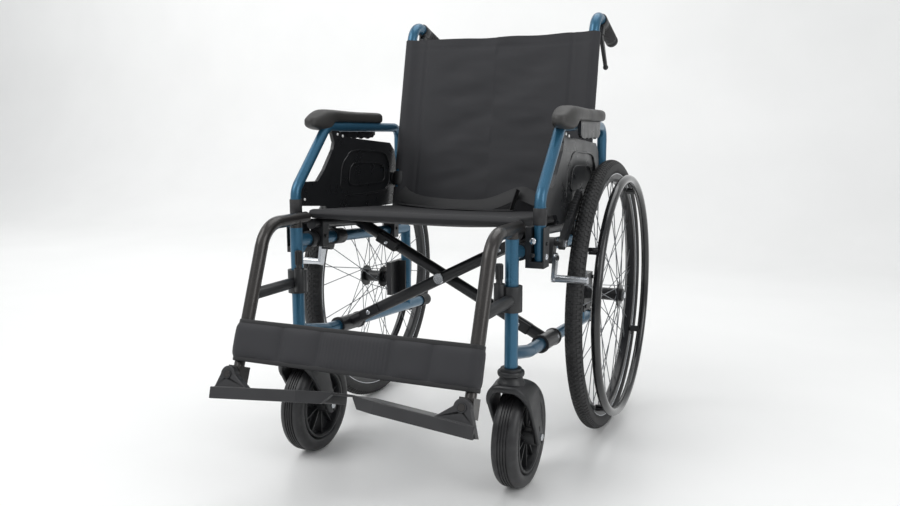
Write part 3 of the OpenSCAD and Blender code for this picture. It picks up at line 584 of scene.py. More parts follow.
class WHEELCHAIR_OT_seat(bpy.types.Operator):
    """Makes the padded seat sling with its rolled front edge and side hems"""
    bl_idname = "wheelchair.seat"
    bl_label = "Seat"

    def execute(self, context):
        sizes = context.scene.wheelchair_seat
        low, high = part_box("seat_sling")
        half_w = (high.x - low.x) / 2
        thick = sizes.thick / 2
        front, rear = low.y + 2 * MM, high.y - 1 * MM
        rows, across = 54, 72
        slope = (high.z - low.z - 2 * thick - 1 * MM) / (rear - front)
        rings = []
        for i in range(rows + 1):
            v = i / rows
            y = front + (rear - front) * v
            height = thick * max(0.12, min(round_end(y - front, thick), round_end(rear - y, thick)))
            centre = high.z - thick - 0.5 * MM - slope * (y - front)
            ring = []
            for x, z in cloth_loop(half_w - thick, height, across):
                hang = hanging(x, half_w)
                seam = -1.6 * MM * groove(y - front - 46 * MM, 2.5 * MM)
                hem = -1.4 * MM * groove(abs(x) - half_w + 30 * MM, 2.5 * MM)
                fold = 1.2 * MM * noise_at(x * 9, y * 16, 3.1) * smooth(0, 0.03, half_w - abs(x))
                top = (seam + hem + fold) if z > 0 else fold
                ring.append(Vector((x, y, centre + z + top - sizes.sag * hang * smooth(0, 0.12, v))))
            rings.append(ring)
        seat = piece("seat_cover", [loft(rings)], "seat_cloth", slope=60)
        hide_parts("seat_sling")
        across_rails(seat)
        return {"FINISHED"}


def on_cane(sizes, x, depth, up):
    """A point at a distance up the canes, depth behind their line."""
    lean = sizes.lean
    return Vector((x, sizes.foot_y + up * math.sin(lean) + depth * math.cos(lean),
                   sizes.foot_z + up * math.cos(lean) - depth * math.sin(lean)))


class WHEELCHAIR_OT_back(bpy.types.Operator):
    """Makes the back sling: a panel that sags between the canes, and a sleeve round each cane"""
    bl_idname = "wheelchair.back"
    bl_label = "Back"

    def execute(self, context):
        sizes = context.scene.wheelchair_back
        low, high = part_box("back_sling")
        self.bottom = (low.z + 3 * MM - sizes.foot_z) / math.cos(sizes.lean)
        self.top = (high.z - 2 * MM - sizes.foot_z) / math.cos(sizes.lean)
        self.panel(sizes)
        for side, sign in SIDES:
            self.sleeve(sizes, side, sign)
        return {"FINISHED"}

    def depth(self, sizes, x, up):
        """How far back the cloth's middle lies at a spot of the panel."""
        inner = sizes.seam_x
        share = (up - self.bottom) / (self.top - self.bottom)
        free = smooth(0, 0.09, inner - abs(x))
        belly = sizes.belly * free * (1 - (x / inner) ** 2) * (0.55 + 0.45 * math.sin(math.pi * share))
        slant = x * 0.8 + up * math.copysign(0.45, x)
        folds = noise_at(slant * 7, up * 22 - x * 5, 1.7) + 0.5 * noise_at(slant * 18, up * 42, 5.2)
        pulled = noise_at(x * 10, up * 5, 8.8) * 0.5
        seam = 2.2 * MM * groove(abs(x) - inner, 3 * MM)
        hem = 0.8 * MM * groove(self.top - up - 22 * MM, 1.6 * MM)
        round_cane = 6.5 * MM * (1 - groove(abs(x) - CANE_X + 3 * MM, 17 * MM))
        flat = 1.4 * MM - sizes.front + round_cane
        return flat + belly + sizes.wrinkle * free * (folds + pulled) + seam + hem

    def panel(self, sizes):
        """The cloth between the canes, in front of them."""
        rows, across = 96, 120
        half_w = CANE_X - 2 * MM
        rings = []
        for i in range(rows + 1):
            up = self.bottom + (self.top - self.bottom) * i / rows
            ring = []
            for x, t in cloth_loop(half_w, 1.25 * MM, across):
                slack = 2.5 * MM * noise_at(x * 12, 0.3) * smooth(0.9, 1.0, i / rows)
                ring.append(on_cane(sizes, x, self.depth(sizes, x, up) - t, up + slack))
            rings.append(ring)
        panel = piece("back_panel", [loft(rings)], "back_cloth", "left_frame", slope=60)
        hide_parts("back_sling")
        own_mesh(panel)

    def sleeve(self, sizes, side, sign):
        """The two lengths of sleeve round a cane, open at the armrest's hinge."""
        hinge = SWING_AT["armrest_flip_" + side].z
        window = (hinge - sizes.foot_z) / math.cos(sizes.lean)
        spans = [(self.bottom, window - 23 * MM), (window + 23 * MM, self.top)]
        parts = []
        for start, end in spans:
            rows = max(6, round((end - start) / (6 * MM)))
            rings = [self.hoop(sizes, start, 12.8 * MM)]
            for i in range(rows + 1):
                up = start + (end - start) * i / rows
                rings.append(self.hoop(sizes, up, 15.2 * MM))
            rings.append(self.hoop(sizes, end, 12.8 * MM))
            parts.append(loft(rings, capped=False))
        made = piece("back_sleeve_" + side, mirrored(parts, sign), "back_cloth", side + "_frame", slope=50)

    def hoop(self, sizes, up, radius):
        """One turn of the sleeve, slightly uneven."""
        ring = []
        for j in range(28):
            turn = 2 * math.pi * j / 28
            out = radius + 0.35 * MM * noise_at(math.cos(turn) * 2, math.sin(turn) * 2, up * 30)
            ring.append(on_cane(sizes, CANE_X + out * math.cos(turn), out * math.sin(turn), up))
        return ring


class WHEELCHAIR_OT_calf_strap(bpy.types.Operator):
    """Makes the calf strap: five quilted panels between bound edges, wrapped round the hangers"""
    bl_idname = "wheelchair.calf_strap"
    bl_label = "Calf strap"

    def execute(self, context):
        sizes = context.scene.wheelchair_strap
        low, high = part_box("calf_strap")
        centre = (low + high) / 2
        lean = sizes.lean
        wrap = 15.5 * MM
        bend = (high.x - low.x) / 2 - 3 * MM - wrap
        half_w = bend + math.pi * 0.8 * wrap
        share = (0.0, 0.20, 0.34, 0.61, 0.76, 1.0)
        seams = [half_w - 2 * half_w * s for s in share]
        tall = sizes.height / 2

        def spot(x, depth, up):
            """A point of the strap, whose ends turn back round the hangers."""
            turn = min(math.pi, max(0.0, (abs(x) - bend) / wrap))
            if turn:
                x = math.copysign(bend + (wrap - depth) * math.sin(turn), x)
                depth = wrap - (wrap - depth) * math.cos(turn)
            return Vector((x, centre.y + up * math.sin(lean) + depth * math.cos(lean),
                           centre.z + up * math.cos(lean) - depth * math.sin(lean)))

        stations = []
        for a, b in zip(seams, seams[1:]):
            steps = max(10, round(abs(b - a) / (2.2 * MM)))
            stations += [(a + (b - a) * i / steps, i / steps, abs(b - a)) for i in range(steps)]
        stations.append((seams[-1], 1.0, 0.07))
        rings = []
        for x, part, wide in stations:
            ring = []
            ribbed = 0.5 * MM * math.cos(2 * math.pi * x / (7 * MM)) if wide > 0.25 * 2 * half_w else 0
            for up, t in cloth_loop(tall - 6 * MM, 1.6 * MM, 22):
                edge = 1 - abs(up / (tall - 6 * MM)) ** 6
                quilt = (1 - abs(2 * part - 1) ** max(3, wide * 34)) * edge
                wave = 1.0 * MM * noise_at(x * 14, up * 20, 4.4)
                outward = (sizes.puff * quilt + ribbed * edge) if t > 0 else 0
                ring.append(spot(x, -(t + outward) + wave, up))
            rings.append(ring)
        strap = piece("calf_strap_quilt", [loft(rings)], "back_cloth", "hanger_left", slope=50)
        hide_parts("calf_strap")
        edges = []
        tape = rounded(4.4 * MM, 2.6 * MM, 1.8 * MM, 3)
        for sign in (1, -1):
            rings = []
            for i in range(181):
                x = half_w - 2 * half_w * i / 180
                wave = 1.0 * MM * noise_at(x * 14, sign * tall * 20, 4.4)
                middle_up = sign * (tall - 4.5 * MM)
                rings.append([spot(x, wave - t, middle_up + up) for up, t in tape])
            edges.append(loft(rings))
        edging = piece("calf_strap_edging", edges, "bound_tape", "hanger_left", slope=50)
        for made in (strap, edging):
            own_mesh(made)
        return {"FINISHED"}


class WHEELCHAIR_OT_lap_belt(bpy.types.Operator):
    """Lays a lap belt along the rear of the seat, with a short upright end"""
    bl_idname = "wheelchair.lap_belt"
    bl_label = "Lap belt"

    def execute(self, context):
        low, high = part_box("seat_sling")
        slope = (high.z - low.z - 20 * MM) / (high.y - low.y)

        def over_seat(x, y, lift):
            """A point above the seat, from millimetres."""
            sag = context.scene.wheelchair_seat.sag * hanging(x * MM, high.x)
            return Vector((x * MM, y * MM, high.z - slope * (y * MM - low.y) - sag + lift * MM))

        webbing = rounded(17 * MM, 1.0 * MM, 0.8 * MM, 2)
        narrow_end = rounded(11 * MM, 1.6 * MM, 1.2 * MM, 2)
        leaning = [(-214, 176, 34), (-196, 172, 22), (-160, 166, 13), (-110, 158, 10), (-50, 156, 9),
                   (0, 160, 11), (38, 166, 19), (72, 172, 33), (98, 176, 42), (116, 174, 36), (150, 170, 24),
                   (206, 170, 18)]
        lying = [(-205, 166, 4), (-150, 152, 3), (-90, 140, 2), (-30, 138, 3), (30, 146, 2), (90, 156, 3)]
        standing = [(84, 152, 2), (88, 154, 16), (93, 158, 34), (97, 162, 50)]
        parts = [sweep(curve_through([over_seat(*spot) for spot in run]), outline, up)
                 for run, outline, up in ((leaning, webbing, (0, -0.85, 0.53)), (lying, webbing, (0, 0, 1)),
                                          (standing, narrow_end, (1, 0, 0)))]
        across_rails(piece("lap_belt", parts, "bound_tape", slope=50))
        return {"FINISHED"}


class WHEELCHAIR_OT_arm_pads(bpy.types.Operator):
    """Makes the moulded arm pads with their drooping noses and the clip blocks beneath"""
    bl_idname = "wheelchair.arm_pads"
    bl_label = "Arm pads"

    def execute(self, context):
        sizes = context.scene.wheelchair_pad
        low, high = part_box("arm_pad_left")
        front, rear = low.y + 18 * MM, high.y + 7 * MM
        top, base = high.z, high.z - 36 * MM
        middle_x, half_w = (low.x + high.x) / 2, (high.x - low.x) / 2
        rings = []
        rows = 60
        for i in range(rows + 1):
            y = front + (rear - front) * i / rows
            ahead = y - front
            nose, back = round_end(ahead, sizes.nose), round_end(rear - y, 14 * MM)
            wide = half_w * (0.3 + 0.7 * nose) * (0.45 + 0.55 * back)
            wide *= 0.9 + 0.1 * smooth(0.0, 0.05, ahead) - 0.08 * smooth(0.09, 0.16, ahead)
            crown = top - 17 * MM * (1 - smooth(-0.01, 0.06, ahead)) - 6 * MM * (1 - nose)
            crown -= 8 * MM * (1 - back) + 3 * MM * smooth(0.05, 0.2, ahead)
            droop = 17 * MM * (1 - smooth(0.055, 0.085, ahead))
            under = base + 7 * MM - droop + 14 * MM * (1 - nose) + 4 * MM * (1 - back)
            high_mid, tall = (crown + under) / 2, (crown - under) / 2
            ring = []
            for j in range(36):
                turn = 2 * math.pi * j / 36
                c, s = math.cos(turn), math.sin(turn)
                px = math.copysign(abs(c) ** 0.62, c)
                pz = math.copysign(abs(s) ** (0.72 if s > 0 else 0.5), s)
                ring.append((middle_x + wide * px, y, high_mid + tall * pz))
            rings.append(ring)
        pads = pair("arm_pad_top", [loft(rings)], "arm_pad_foam", "armrest_{}", 70)
        stand_in(pads, "arm_pad")
        self.clip(rear, base)
        return {"FINISHED"}

    @staticmethod
    def clip(rear, base):
        """The black block that clips the pad to the tube, scalloped along its lower edge."""
        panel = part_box("side_panel_left")[1]
        start, end = rear - 168 * MM, rear - 6 * MM
        x_in, x_out = panel.x + 11.5 * MM, panel.x + 18.5 * MM
        rings = []
        rows = 64
        for i in range(rows + 1):
            y = start + (end - start) * i / rows
            low_z = base - 30 * MM + 3.2 * MM * abs(math.sin(math.pi * 5 * i / rows))
            low_z += 9 * MM * (1 - smooth(0, 0.012, min(y - start, end - y)))
            high_z = base + 8 * MM
            mid, tall = (low_z + high_z) / 2, (high_z - low_z) / 2
            rings.append([((x_in + x_out) / 2 + a, y, mid + b)
                          for a, b in rounded((x_out - x_in) / 2, tall, 1.6 * MM, 3)])
        pair("arm_pad_clip", [loft(rings)], "gloss_black_panel", "armrest_{}")


# ---------------------------------------------------------------- wheels


def radial(turn):
    """Direction of a spoke at a turn round a wheel's axle, and axes for a block laid across it."""
    spoke = Vector((0, math.cos(turn), math.sin(turn)))
    return spoke, Matrix((Vector((0, -spoke.z, spoke.y)), spoke, (1, 0, 0))).transposed()


def standing_along(way):
    """Axes for a block whose height follows a direction square to X."""
    return Matrix(((1, 0, 0), (0, way.z, -way.y), tuple(way))).transposed()


class WHEELCHAIR_OT_rear_tyres(bpy.types.Operator):
    """Makes the rear tyres with rows of tread blocks, and the bright line on each rim"""
    bl_idname = "wheelchair.rear_tyres"
    bl_label = "Rear tyres"

    def execute(self, context):
        sizes = context.scene.wheelchair_tyre
        section = half("rear_tyre_left").x
        core = WHEEL_R - section
        bead = half("rear_rim_left").z + 1.5 * MM
        turns = []
        for i in range(sizes.blocks):
            turns += [(i + f, h) for f, h in ((0.0, 1), (0.52, 1), (0.6, 0), (0.92, 0))]
        profile = self.profile()
        rings = []
        for step, high in turns:
            turn = 2 * math.pi * step / sizes.blocks
            ring = []
            for angle, row in profile:
                lifted = high if row % 2 == 0 else 1 - high
                depth = 0.0
                if row >= 0:
                    depth = sizes.tread * (1 - lifted)
                elif row == -1:
                    depth = sizes.tread
                out = section - depth
                radius = max(core + out * math.cos(angle), bead)
                across = out * math.sin(angle)
                ring.append((WHEEL.x + across, WHEEL.y + radius * math.cos(turn),
                             WHEEL.z + radius * math.sin(turn)))
            rings.append(ring)
        tyre = [loft(rings, joined=True)]
        stand_in(pair("rear_tyre_tread", tyre, "tyre_rubber_black", "rear_wheel_{}", 32), "rear_tyre")
        self.rim_line()
        self.fittings()
        return {"FINISHED"}

    @staticmethod
    def rim_line():
        """The bare metal bead that shows between rim and tyre."""
        rim = half("rear_rim_left")
        lines = []
        for face in (1, -1):
            section = [(face * (rim.x + out * MM), rim.z + up * MM)
                       for out, up in ((-0.4, -0.2), (0.9, 0.3), (0.9, 1.9), (-0.4, 2.2))]
            lines.append(lathe(section, WHEEL, (1, 0, 0), steps=144, closed=True))
        pair("rim_line", lines, "bright_zinc", "rear_wheel_{}")

    @staticmethod
    def profile():
        """Angles round the tyre's section from its top, with the row of blocks each one lies in.

        A row number of -1 is a groove between rows and -2 is the smooth side wall.
        """
        rows = [(-62, -34), (-27, -10), (-6, 6), (10, 27), (34, 62)]
        marks = []
        for i, (a, b) in enumerate(rows):
            marks += [(a - 1.5, -1 if i else -2), (a, i), ((a + b) / 2, i), (b, i),
                      (b + 1.5, -1 if i < 4 else -2)]
        outline = [(math.radians(a), r) for a, r in marks]
        side_steps = [math.radians(63.5 + (296.5 - 63.5) * i / 20) for i in range(1, 20)]
        return outline + [(a, -2) for a in side_steps]

    @staticmethod
    def fittings():
        """Tab stand-offs of the handrim, hub end cap and axle nut."""
        ring = half("handrim_left").z
        tabs = []
        for i in range(4):
            spoke, turned = radial(math.radians(60 + 90 * i))
            centre = WHEEL + Vector((25 * MM, 0, 0)) + spoke * (ring - 12.5 * MM)
            tabs.append(box_part(centre, (15 * MM, 4 * MM, 27 * MM), turned, 1.6 * MM))
        pair("handrim_tabs", tabs, "grained_black_nylon", "rear_wheel_{}")
        hub_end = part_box("rear_hub_left")[1].x
        cap = lathe(millimetres((0, 15), (2.2, 15), (3.4, 13.4), (3.4, 8.2)),
                    (hub_end - 2 * MM, WHEEL.y, WHEEL.z), (1, 0, 0))
        pair("hub_cap", [cap], "grained_black_nylon", "rear_wheel_{}")
        nut = bolt((hub_end, WHEEL.y, WHEEL.z), (1, 0, 0), 8.5 * MM, 5.5 * MM, 6)
        pair("axle_nut", [nut], "bright_zinc", "rear_wheel_{}")


class WHEELCHAIR_OT_casters(bpy.types.Operator):
    """Makes the grooved caster tyres, the ribbed rims and the arched forks with their bolts"""
    bl_idname = "wheelchair.casters"
    bl_label = "Casters"

    def execute(self, context):
        sizes = context.scene.wheelchair_tyre
        wheel, fork = "caster_wheel_{}", "caster_fork_{}"
        tyres = pair("caster_tyre_grooved", [self.tyre(sizes)], "caster_polyurethane", wheel, 30)
        stand_in(tyres, "caster_tyre")
        stand_in(pair("caster_fork_arch", self.fork(), "grained_black_nylon", fork, 42), "caster_fork")
        rise = Vector((0, POST_Y - CASTER.y, 116 * MM)).normalized()
        turned = standing_along(rise)
        bolts, slot_shadows = [], []
        for face in (1, -1):
            bolts.append(bolt(CASTER + Vector((face * 42.2 * MM, 0, 0)), (face, 0, 0), 7.5 * MM, 4.0 * MM, 6))
            # thin near-black plates on each fork face: painted shade standing in for the shadow inside the
            # fork's slots
            for up, tall in ((21, 13), (-12, 9)):
                at = CASTER + Vector((face * 42.4 * MM, 0, 0)) + rise * up * MM
                slot_shadows.append(box_part(at, (0.8 * MM, 5 * MM, tall * MM), turned, 0.3 * MM))
        pair("caster_bolts", bolts, "bright_zinc", fork)
        pair("fork_slot_shadows", slot_shadows, "slot_shadow", fork)
        pair("caster_ribs", self.ribs(), "grained_black_nylon", wheel)
        return {"FINISHED"}

    @staticmethod
    def tyre(sizes):
        """A solid tyre, rounded at both shoulders, with grooves round its tread."""
        wide, bore = half("caster_tyre_left").x, CASTER_R - 28 * MM
        profile = [(-wide + 7 * MM, bore), (-wide + 2 * MM, bore + 4 * MM), (-wide, bore + 11 * MM)]
        shoulder = 13 * MM
        for i in range(1, 8):
            turn = math.pi / 2 * i / 8
            profile.append((-wide + shoulder * (1 - math.cos(turn)) * 1.1,
                            CASTER_R - shoulder + shoulder * math.sin(turn) - 0.6 * MM * (1 - i / 8)))
        tread = wide - shoulder * 1.1
        for i in range(sizes.grooves):
            at = -tread + 2 * tread * (i + 0.5) / sizes.grooves
            crown = CASTER_R - 1.2 * MM * (at / wide) ** 2
            profile += [(at - 1.9 * MM, crown), (at - 1.2 * MM, crown - 1.9 * MM),
                        (at + 1.2 * MM, crown - 1.9 * MM), (at + 1.9 * MM, crown)]
        profile += [(-a, r) for a, r in reversed(profile[:10])]
        return lathe(profile, CASTER, (1, 0, 0), steps=96, closed=True)

    @staticmethod
    def ribs():
        """Five pairs of thin ribs from hub to tyre seat, and the seat's rolled edge."""
        parts = []
        for i in range(10):
            spoke, turned = radial(math.radians(36 * i + 18))
            parts.append(box_part(CASTER + spoke * 42 * MM, (3 * MM, 50 * MM, 30 * MM), turned, 1.0 * MM))
        for face in (1, -1):
            edge = millimetres((face * 21, 72), (face * 23.5, 70.5), (face * 23.5, 67), (face * 21, 65.5))
            parts.append(lathe(edge, CASTER, (1, 0, 0), steps=72, closed=True))
        return parts

    @staticmethod
    def fork():
        """Legs and arched crown as one skin along an upside-down U, and the flanged collar above."""
        leg_x = half("caster_fork_left").x - 4 * MM
        swivel_z = SWING_AT["caster_swivel_left"].z
        axle = Vector((0, CASTER.y, CASTER.z))
        crown_at = Vector((0, POST_Y, swivel_z - 11 * MM))
        rise = crown_at - axle
        way = rise.normalized()
        across = Vector((0, way.z, -way.y))
        foot_r, crown_w, corner, leg_share = 17 * MM, 28 * MM, 27 * MM, 0.78
        spine = []
        for i in range(6):
            back = 1 - i / 6
            spine.append((leg_x, axle - way * back * foot_r, math.sqrt(1 - back ** 2) * foot_r + 0.4 * MM,
                          4 * MM, 0.0))
        for i in range(1, 13):
            share = i / 13 * leg_share
            wide = foot_r + (crown_w - foot_r) * smooth(0, 1, share)
            spine.append((leg_x, axle + rise * share, wide, (4 + 1.2 * share) * MM, 0.0))
        start = axle + rise * leg_share
        for i in range(9):
            turn = math.pi / 2 * i / 8
            spine.append((leg_x - corner * (1 - math.cos(turn)), start + (crown_at - start) * math.sin(turn),
                          crown_w + 5 * MM * math.sin(turn), (5 + 2.2 * math.sin(turn)) * MM, turn))
        rings = []
        spine += [(-x, p, w, t, math.pi - a) for x, p, w, t, a in reversed(spine)]
        for x, p, wide, thick, turn in spine:
            normal = Vector((math.cos(turn), 0, math.sin(turn)))
            lean = across.lerp(Vector((0, 1, 0)), math.sin(turn)).normalized()
            ring = []
            for a, b in rounded(wide, thick, min(thick * 0.8, wide * 0.8), 4):
                ring.append(Vector((CASTER.x + x, p.y, p.z)) + lean * a + normal * b)
            rings.append(ring)
        collar = millimetres((-12, 27), (-5, 26), (0, 23.5), (4, 21.5), (7, 21), (9, 24), (12, 25), (16, 25),
                             (18, 23.8), (18.5, 20), (23, 19.5), (23.2, 12))
        parts = [loft(rings), lathe(collar, (CASTER.x, POST_Y, swivel_z), (0, 0, 1))]
        for face in (1, -1):
            boss = millimetres((face * 17, 17), (face * 34, 14), (face * 35, 10))
            parts.append(lathe(boss, CASTER, (1, 0, 0), steps=32))
        parts.append(lathe(millimetres((-43, 5), (43, 5)), CASTER, (1, 0, 0), steps=16))
        return parts


# ---------------------------------------------------------------- fittings


class WHEELCHAIR_OT_fittings(bpy.types.Operator):
    """Adds bolts, rivets, sleeve rings, link plates and the parking brakes' grips"""
    bl_idname = "wheelchair.fittings"
    bl_label = "Fittings"

    def execute(self, context):
        self.frame_bolts()
        self.armrest_rivets()
        self.parking_brake()
        self.hanger_parts()
        self.footplate_parts()
        self.brace_parts()
        return {"FINISHED"}

    @staticmethod
    def frame_bolts():
        """Bolts of the arm socket, seat saddles and arm hinge."""
        low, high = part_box("arm_socket_left")
        mid = (low + high) / 2
        bright = [
            bolt((mid.x + 12 * MM, low.y + 0.2 * MM, low.z + 50 * MM), (0, -1, 0), 6.5 * MM, 4 * MM),
            bolt((high.x - 0.2 * MM, mid.y, low.z + 20 * MM), (1, 0, 0), 6 * MM, 3.5 * MM),
        ]
        dark = [
            bolt((mid.x + 12 * MM, low.y + 0.2 * MM, low.z + 24 * MM), (0, -1, 0), 4.2 * MM, 3 * MM),
            bolt((high.x - 0.2 * MM, mid.y, low.z + 44 * MM), (1, 0, 0), 4 * MM, 3 * MM, 6),
        ]
        pair("socket_bolts", bright, "bright_zinc", "{}_frame")
        low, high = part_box("seat_saddles_left")
        for y in (low.y + 11 * MM, high.y - 11 * MM):
            z = high.z - 30 * MM - (y - low.y) * math.tan(RAKE)
            dark.append(bolt((high.x - 0.2 * MM, y, z), (1, 0, 0), 4 * MM, 3 * MM, 6))
            dark.append(bolt((low.x + 0.2 * MM, y, z), (-1, 0, 0), 4 * MM, 3 * MM, 6))
        hinge = SWING_AT["armrest_flip_left"]
        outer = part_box("arm_hinge_left")[1].x
        dark.append(bolt((outer - 1 * MM, hinge.y, hinge.z), (1, 0, 0), 9 * MM, 5 * MM, 6))
        pair("frame_screws", dark, "grained_black_nylon", "{}_frame")

    @staticmethod
    def armrest_rivets():
        """Rivets and raised beads of the side panel, and the sleeve on the armrest's leg."""
        low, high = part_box("side_panel_left")
        rivets = []
        for x, way in ((low.x + 0.1 * MM, -1), (high.x - 0.1 * MM, 1)):
            for y, z in ((low.y + 150 * MM, high.z - 8 * MM), (low.y + 172 * MM, high.z - 12 * MM),
                         (low.y + 14 * MM, low.z + 40 * MM), (high.y - 16 * MM, low.z + 24 * MM)):
                rivets.append(bolt((x, y, z), (way, 0, 0), 3.2 * MM, 1.8 * MM))
        pair("panel_rivets", rivets, "white_nylon", "armrest_{}")
        field = millimetres((-35, 545), (-25, 600), (20, 632), (175, 624), (200, 596), (200, 545), (170, 528),
                            (-5, 528))
        inner = millimetres((4, 556), (10, 590), (30, 602), (150, 598), (174, 584), (176, 560), (160, 550),
                            (20, 550))
        beads = []
        for x in (low.x, high.x):
            for outline, radius in ((field, 1.7), (inner, 1.3)):
                corners = [Vector((x, y, z)) for y, z in outline]
                line = []
                for a, b in zip(corners, corners[1:] + corners[:1]):
                    line += [a.lerp(b, 0.18), a.lerp(b, 0.5), a.lerp(b, 0.82)]
                loop = curve_through(line + line[:1], 5)[:-1]
                bead = cord_outline(radius * MM, 8)
                rings = []
                for i, point in enumerate(loop):
                    ahead = (loop[(i + 1) % len(loop)] - loop[i - 1]).normalized()
                    out = ahead.cross(Vector((1, 0, 0)))
                    rings.append([point + out * a * 1.4 + Vector((b, 0, 0)) for a, b in bead])
                beads.append(loft(rings, joined=True))
        pair("panel_beads", beads, "gloss_black_panel", "armrest_{}")
        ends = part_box("armrest_tube_left")
        foot = Vector(((ends[0].x + ends[1].x) / 2, ends[0].y + 11 * MM, ends[0].z))
        wall = millimetres((66, 11.2), (66, 12.2), (67, 12.8), (96, 12.8), (97, 12.2), (97, 11.2))
        sleeve = lathe(wall, foot, (0, 0, 1), closed=True)
        pair("leg_sleeve", [sleeve], "moulded_grip_rubber", "armrest_{}")

    @staticmethod
    def parking_brake():
        """The ribbed grip, the bar that presses the tyre, and the clamp's bolt and nut."""
        pivot = SWING_AT["brake_lever_turn_left"]
        low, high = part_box("brake_lever_left")
        grip_end = Vector(((low.x + high.x) / 2, high.y - 11 * MM, high.z - 11 * MM))
        start = Vector((grip_end.x, pivot.y, pivot.z))
        way = (grip_end - start).normalized()
        turned = standing_along(way)
        length = (grip_end - start).length
        ribs = []
        for i in range(9):
            at = start + way * (length * 0.48 + i * 8.6 * MM)
            ribs.append(box_part(at, (12.5 * MM, 24.5 * MM, 4.2 * MM), turned, 3 * MM))
        ribs.append(box_part(grip_end + way * 4 * MM, (12.5 * MM, 23 * MM, 9 * MM), turned, 4 * MM))
        pair("brake_grip", ribs, "moulded_grip_rubber", "brake_lever_{}")
        shoe = SWING_AT["brake_shoe_turn_left"]
        bar_end = Vector((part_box("brake_shoe_left")[1].x, shoe.y - 10 * MM, shoe.z - 39 * MM))
        bright = [lathe(millimetres((-70, 7.2), (-1.5, 7.2), (-0.6, 6.2), (-0.2, 3)), bar_end, (1, 0, 0),
                        steps=28),
                  bolt(bar_end - Vector((1 * MM, 0, 0)), (1, 0, 0), 4.2 * MM, 1.1 * MM, 6)]
        pair("brake_bar", bright, "bright_zinc", "brake_shoe_{}")
        bolts = [bolt((high.x + 0.1 * MM, pivot.y, pivot.z), (1, 0, 0), 7.5 * MM, 4.5 * MM, 6)]
        pair("brake_bolt", bolts, "bright_zinc", "{}_frame")
        at = (FRAME_X + 10 * MM, pivot.y - 24 * MM, pivot.z - 12 * MM)
        white = bolt(at, (0, -1, 0), 7.5 * MM, 9 * MM, 6)
        pair("brake_clamp_nut", [white], "white_nylon", "{}_frame")

    @staticmethod
    def hanger_parts():
        """Ribs of the latch knob and the collar at the hanger's lower end."""
        knob = Vector((FRAME_X - 17 * MM, POST_Y - 19 * MM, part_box("hanger_clamp_left")[1].z))
        ribs = []
        for i in range(10):
            turn = 2 * math.pi * i / 10
            at = knob + Vector((6.2 * MM * math.cos(turn), 6.2 * MM * math.sin(turn), -14 * MM))
            ribs.append(lathe(millimetres((-14, 1.4), (12, 1.4)), at, (0, 0, 1), steps=8))
        pair("latch_ribs", ribs, "grained_black_nylon", "hanger_{}")
        along = Vector((0, -math.sin(HANGER_LEAN), -math.cos(HANGER_LEAN)))
        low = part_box("hanger_left")[0]
        ring = lathe(millimetres((-20, 12.6), (-20, 14), (-2, 14), (1, 12.9), (1, 10)),
                     (FRAME_X, low.y + 11.7 * MM, low.z + 4 * MM), along)
        pair("hanger_collar", [ring], "grained_black_nylon", "hanger_{}")

    @staticmethod
    def footplate_parts():
        """The cap of the footplate's pin."""
        foot = SWING_AT["footplate_flip_left"]
        ahead = Vector((0, -math.cos(HANGER_LEAN), math.sin(HANGER_LEAN)))
        cap = lathe(millimetres((0, 8.5), (1.4, 8.5), (1.4, 6.5), (0.4, 6), (0.4, 0.5)),
                    foot + ahead * 16.5 * MM, ahead, steps=28)
        pair("footplate_pin", [cap], "grained_black_nylon", "footplate_{}")

    @staticmethod
    def brace_parts():
        """End rings and a rivet on each sleeve of the brace, and a bolted plate at each rail."""
        way = Vector((0, math.cos(RAKE), -math.sin(RAKE)))
        for body, sign, joint in (("brace_rear", 1, "fold"), ("brace_front", -1, "brace_foot")):
            foot = SWING_AT[joint]
            foot = Vector((abs(foot.x), foot.y, foot.z))
            dark, bright = [], []
            for end in (-1, 1):
                ring = millimetres((-3, 17.2), (-3, 18.6), (3, 18.6), (3, 17.2))
                dark.append(lathe(ring, foot + way * 43.5 * MM * end, way, closed=True))
            rivet = foot + Vector((15.8 * MM, 0, 5 * MM)) + way * 30 * MM
            bright.append(bolt(rivet, (1, 0, 0.3), 3.4 * MM, 2 * MM))
            arm = Vector((-math.cos(BRACE_ANGLE), 0, math.sin(BRACE_ANGLE)))
            turned = Matrix((arm, way, arm.cross(way))).transposed()
            length = 2 * FRAME_X / math.cos(BRACE_ANGLE)
            for share in (0.13, 0.8):
                at = foot + arm * length * share
                dark.append(box_part(at - way * 0.2 * MM, (52 * MM, 27.5 * MM, 21 * MM), turned, 3 * MM))
                bright.append(bolt(at - way * 13.6 * MM, -way, 5.5 * MM, 4 * MM))
            piece(body + "_plates", mirrored(dark, sign), "grained_black_nylon", body)
            piece(body + "_rivets", mirrored(bright, sign), "bright_zinc", body)


# ---------------------------------------------------------------- stage


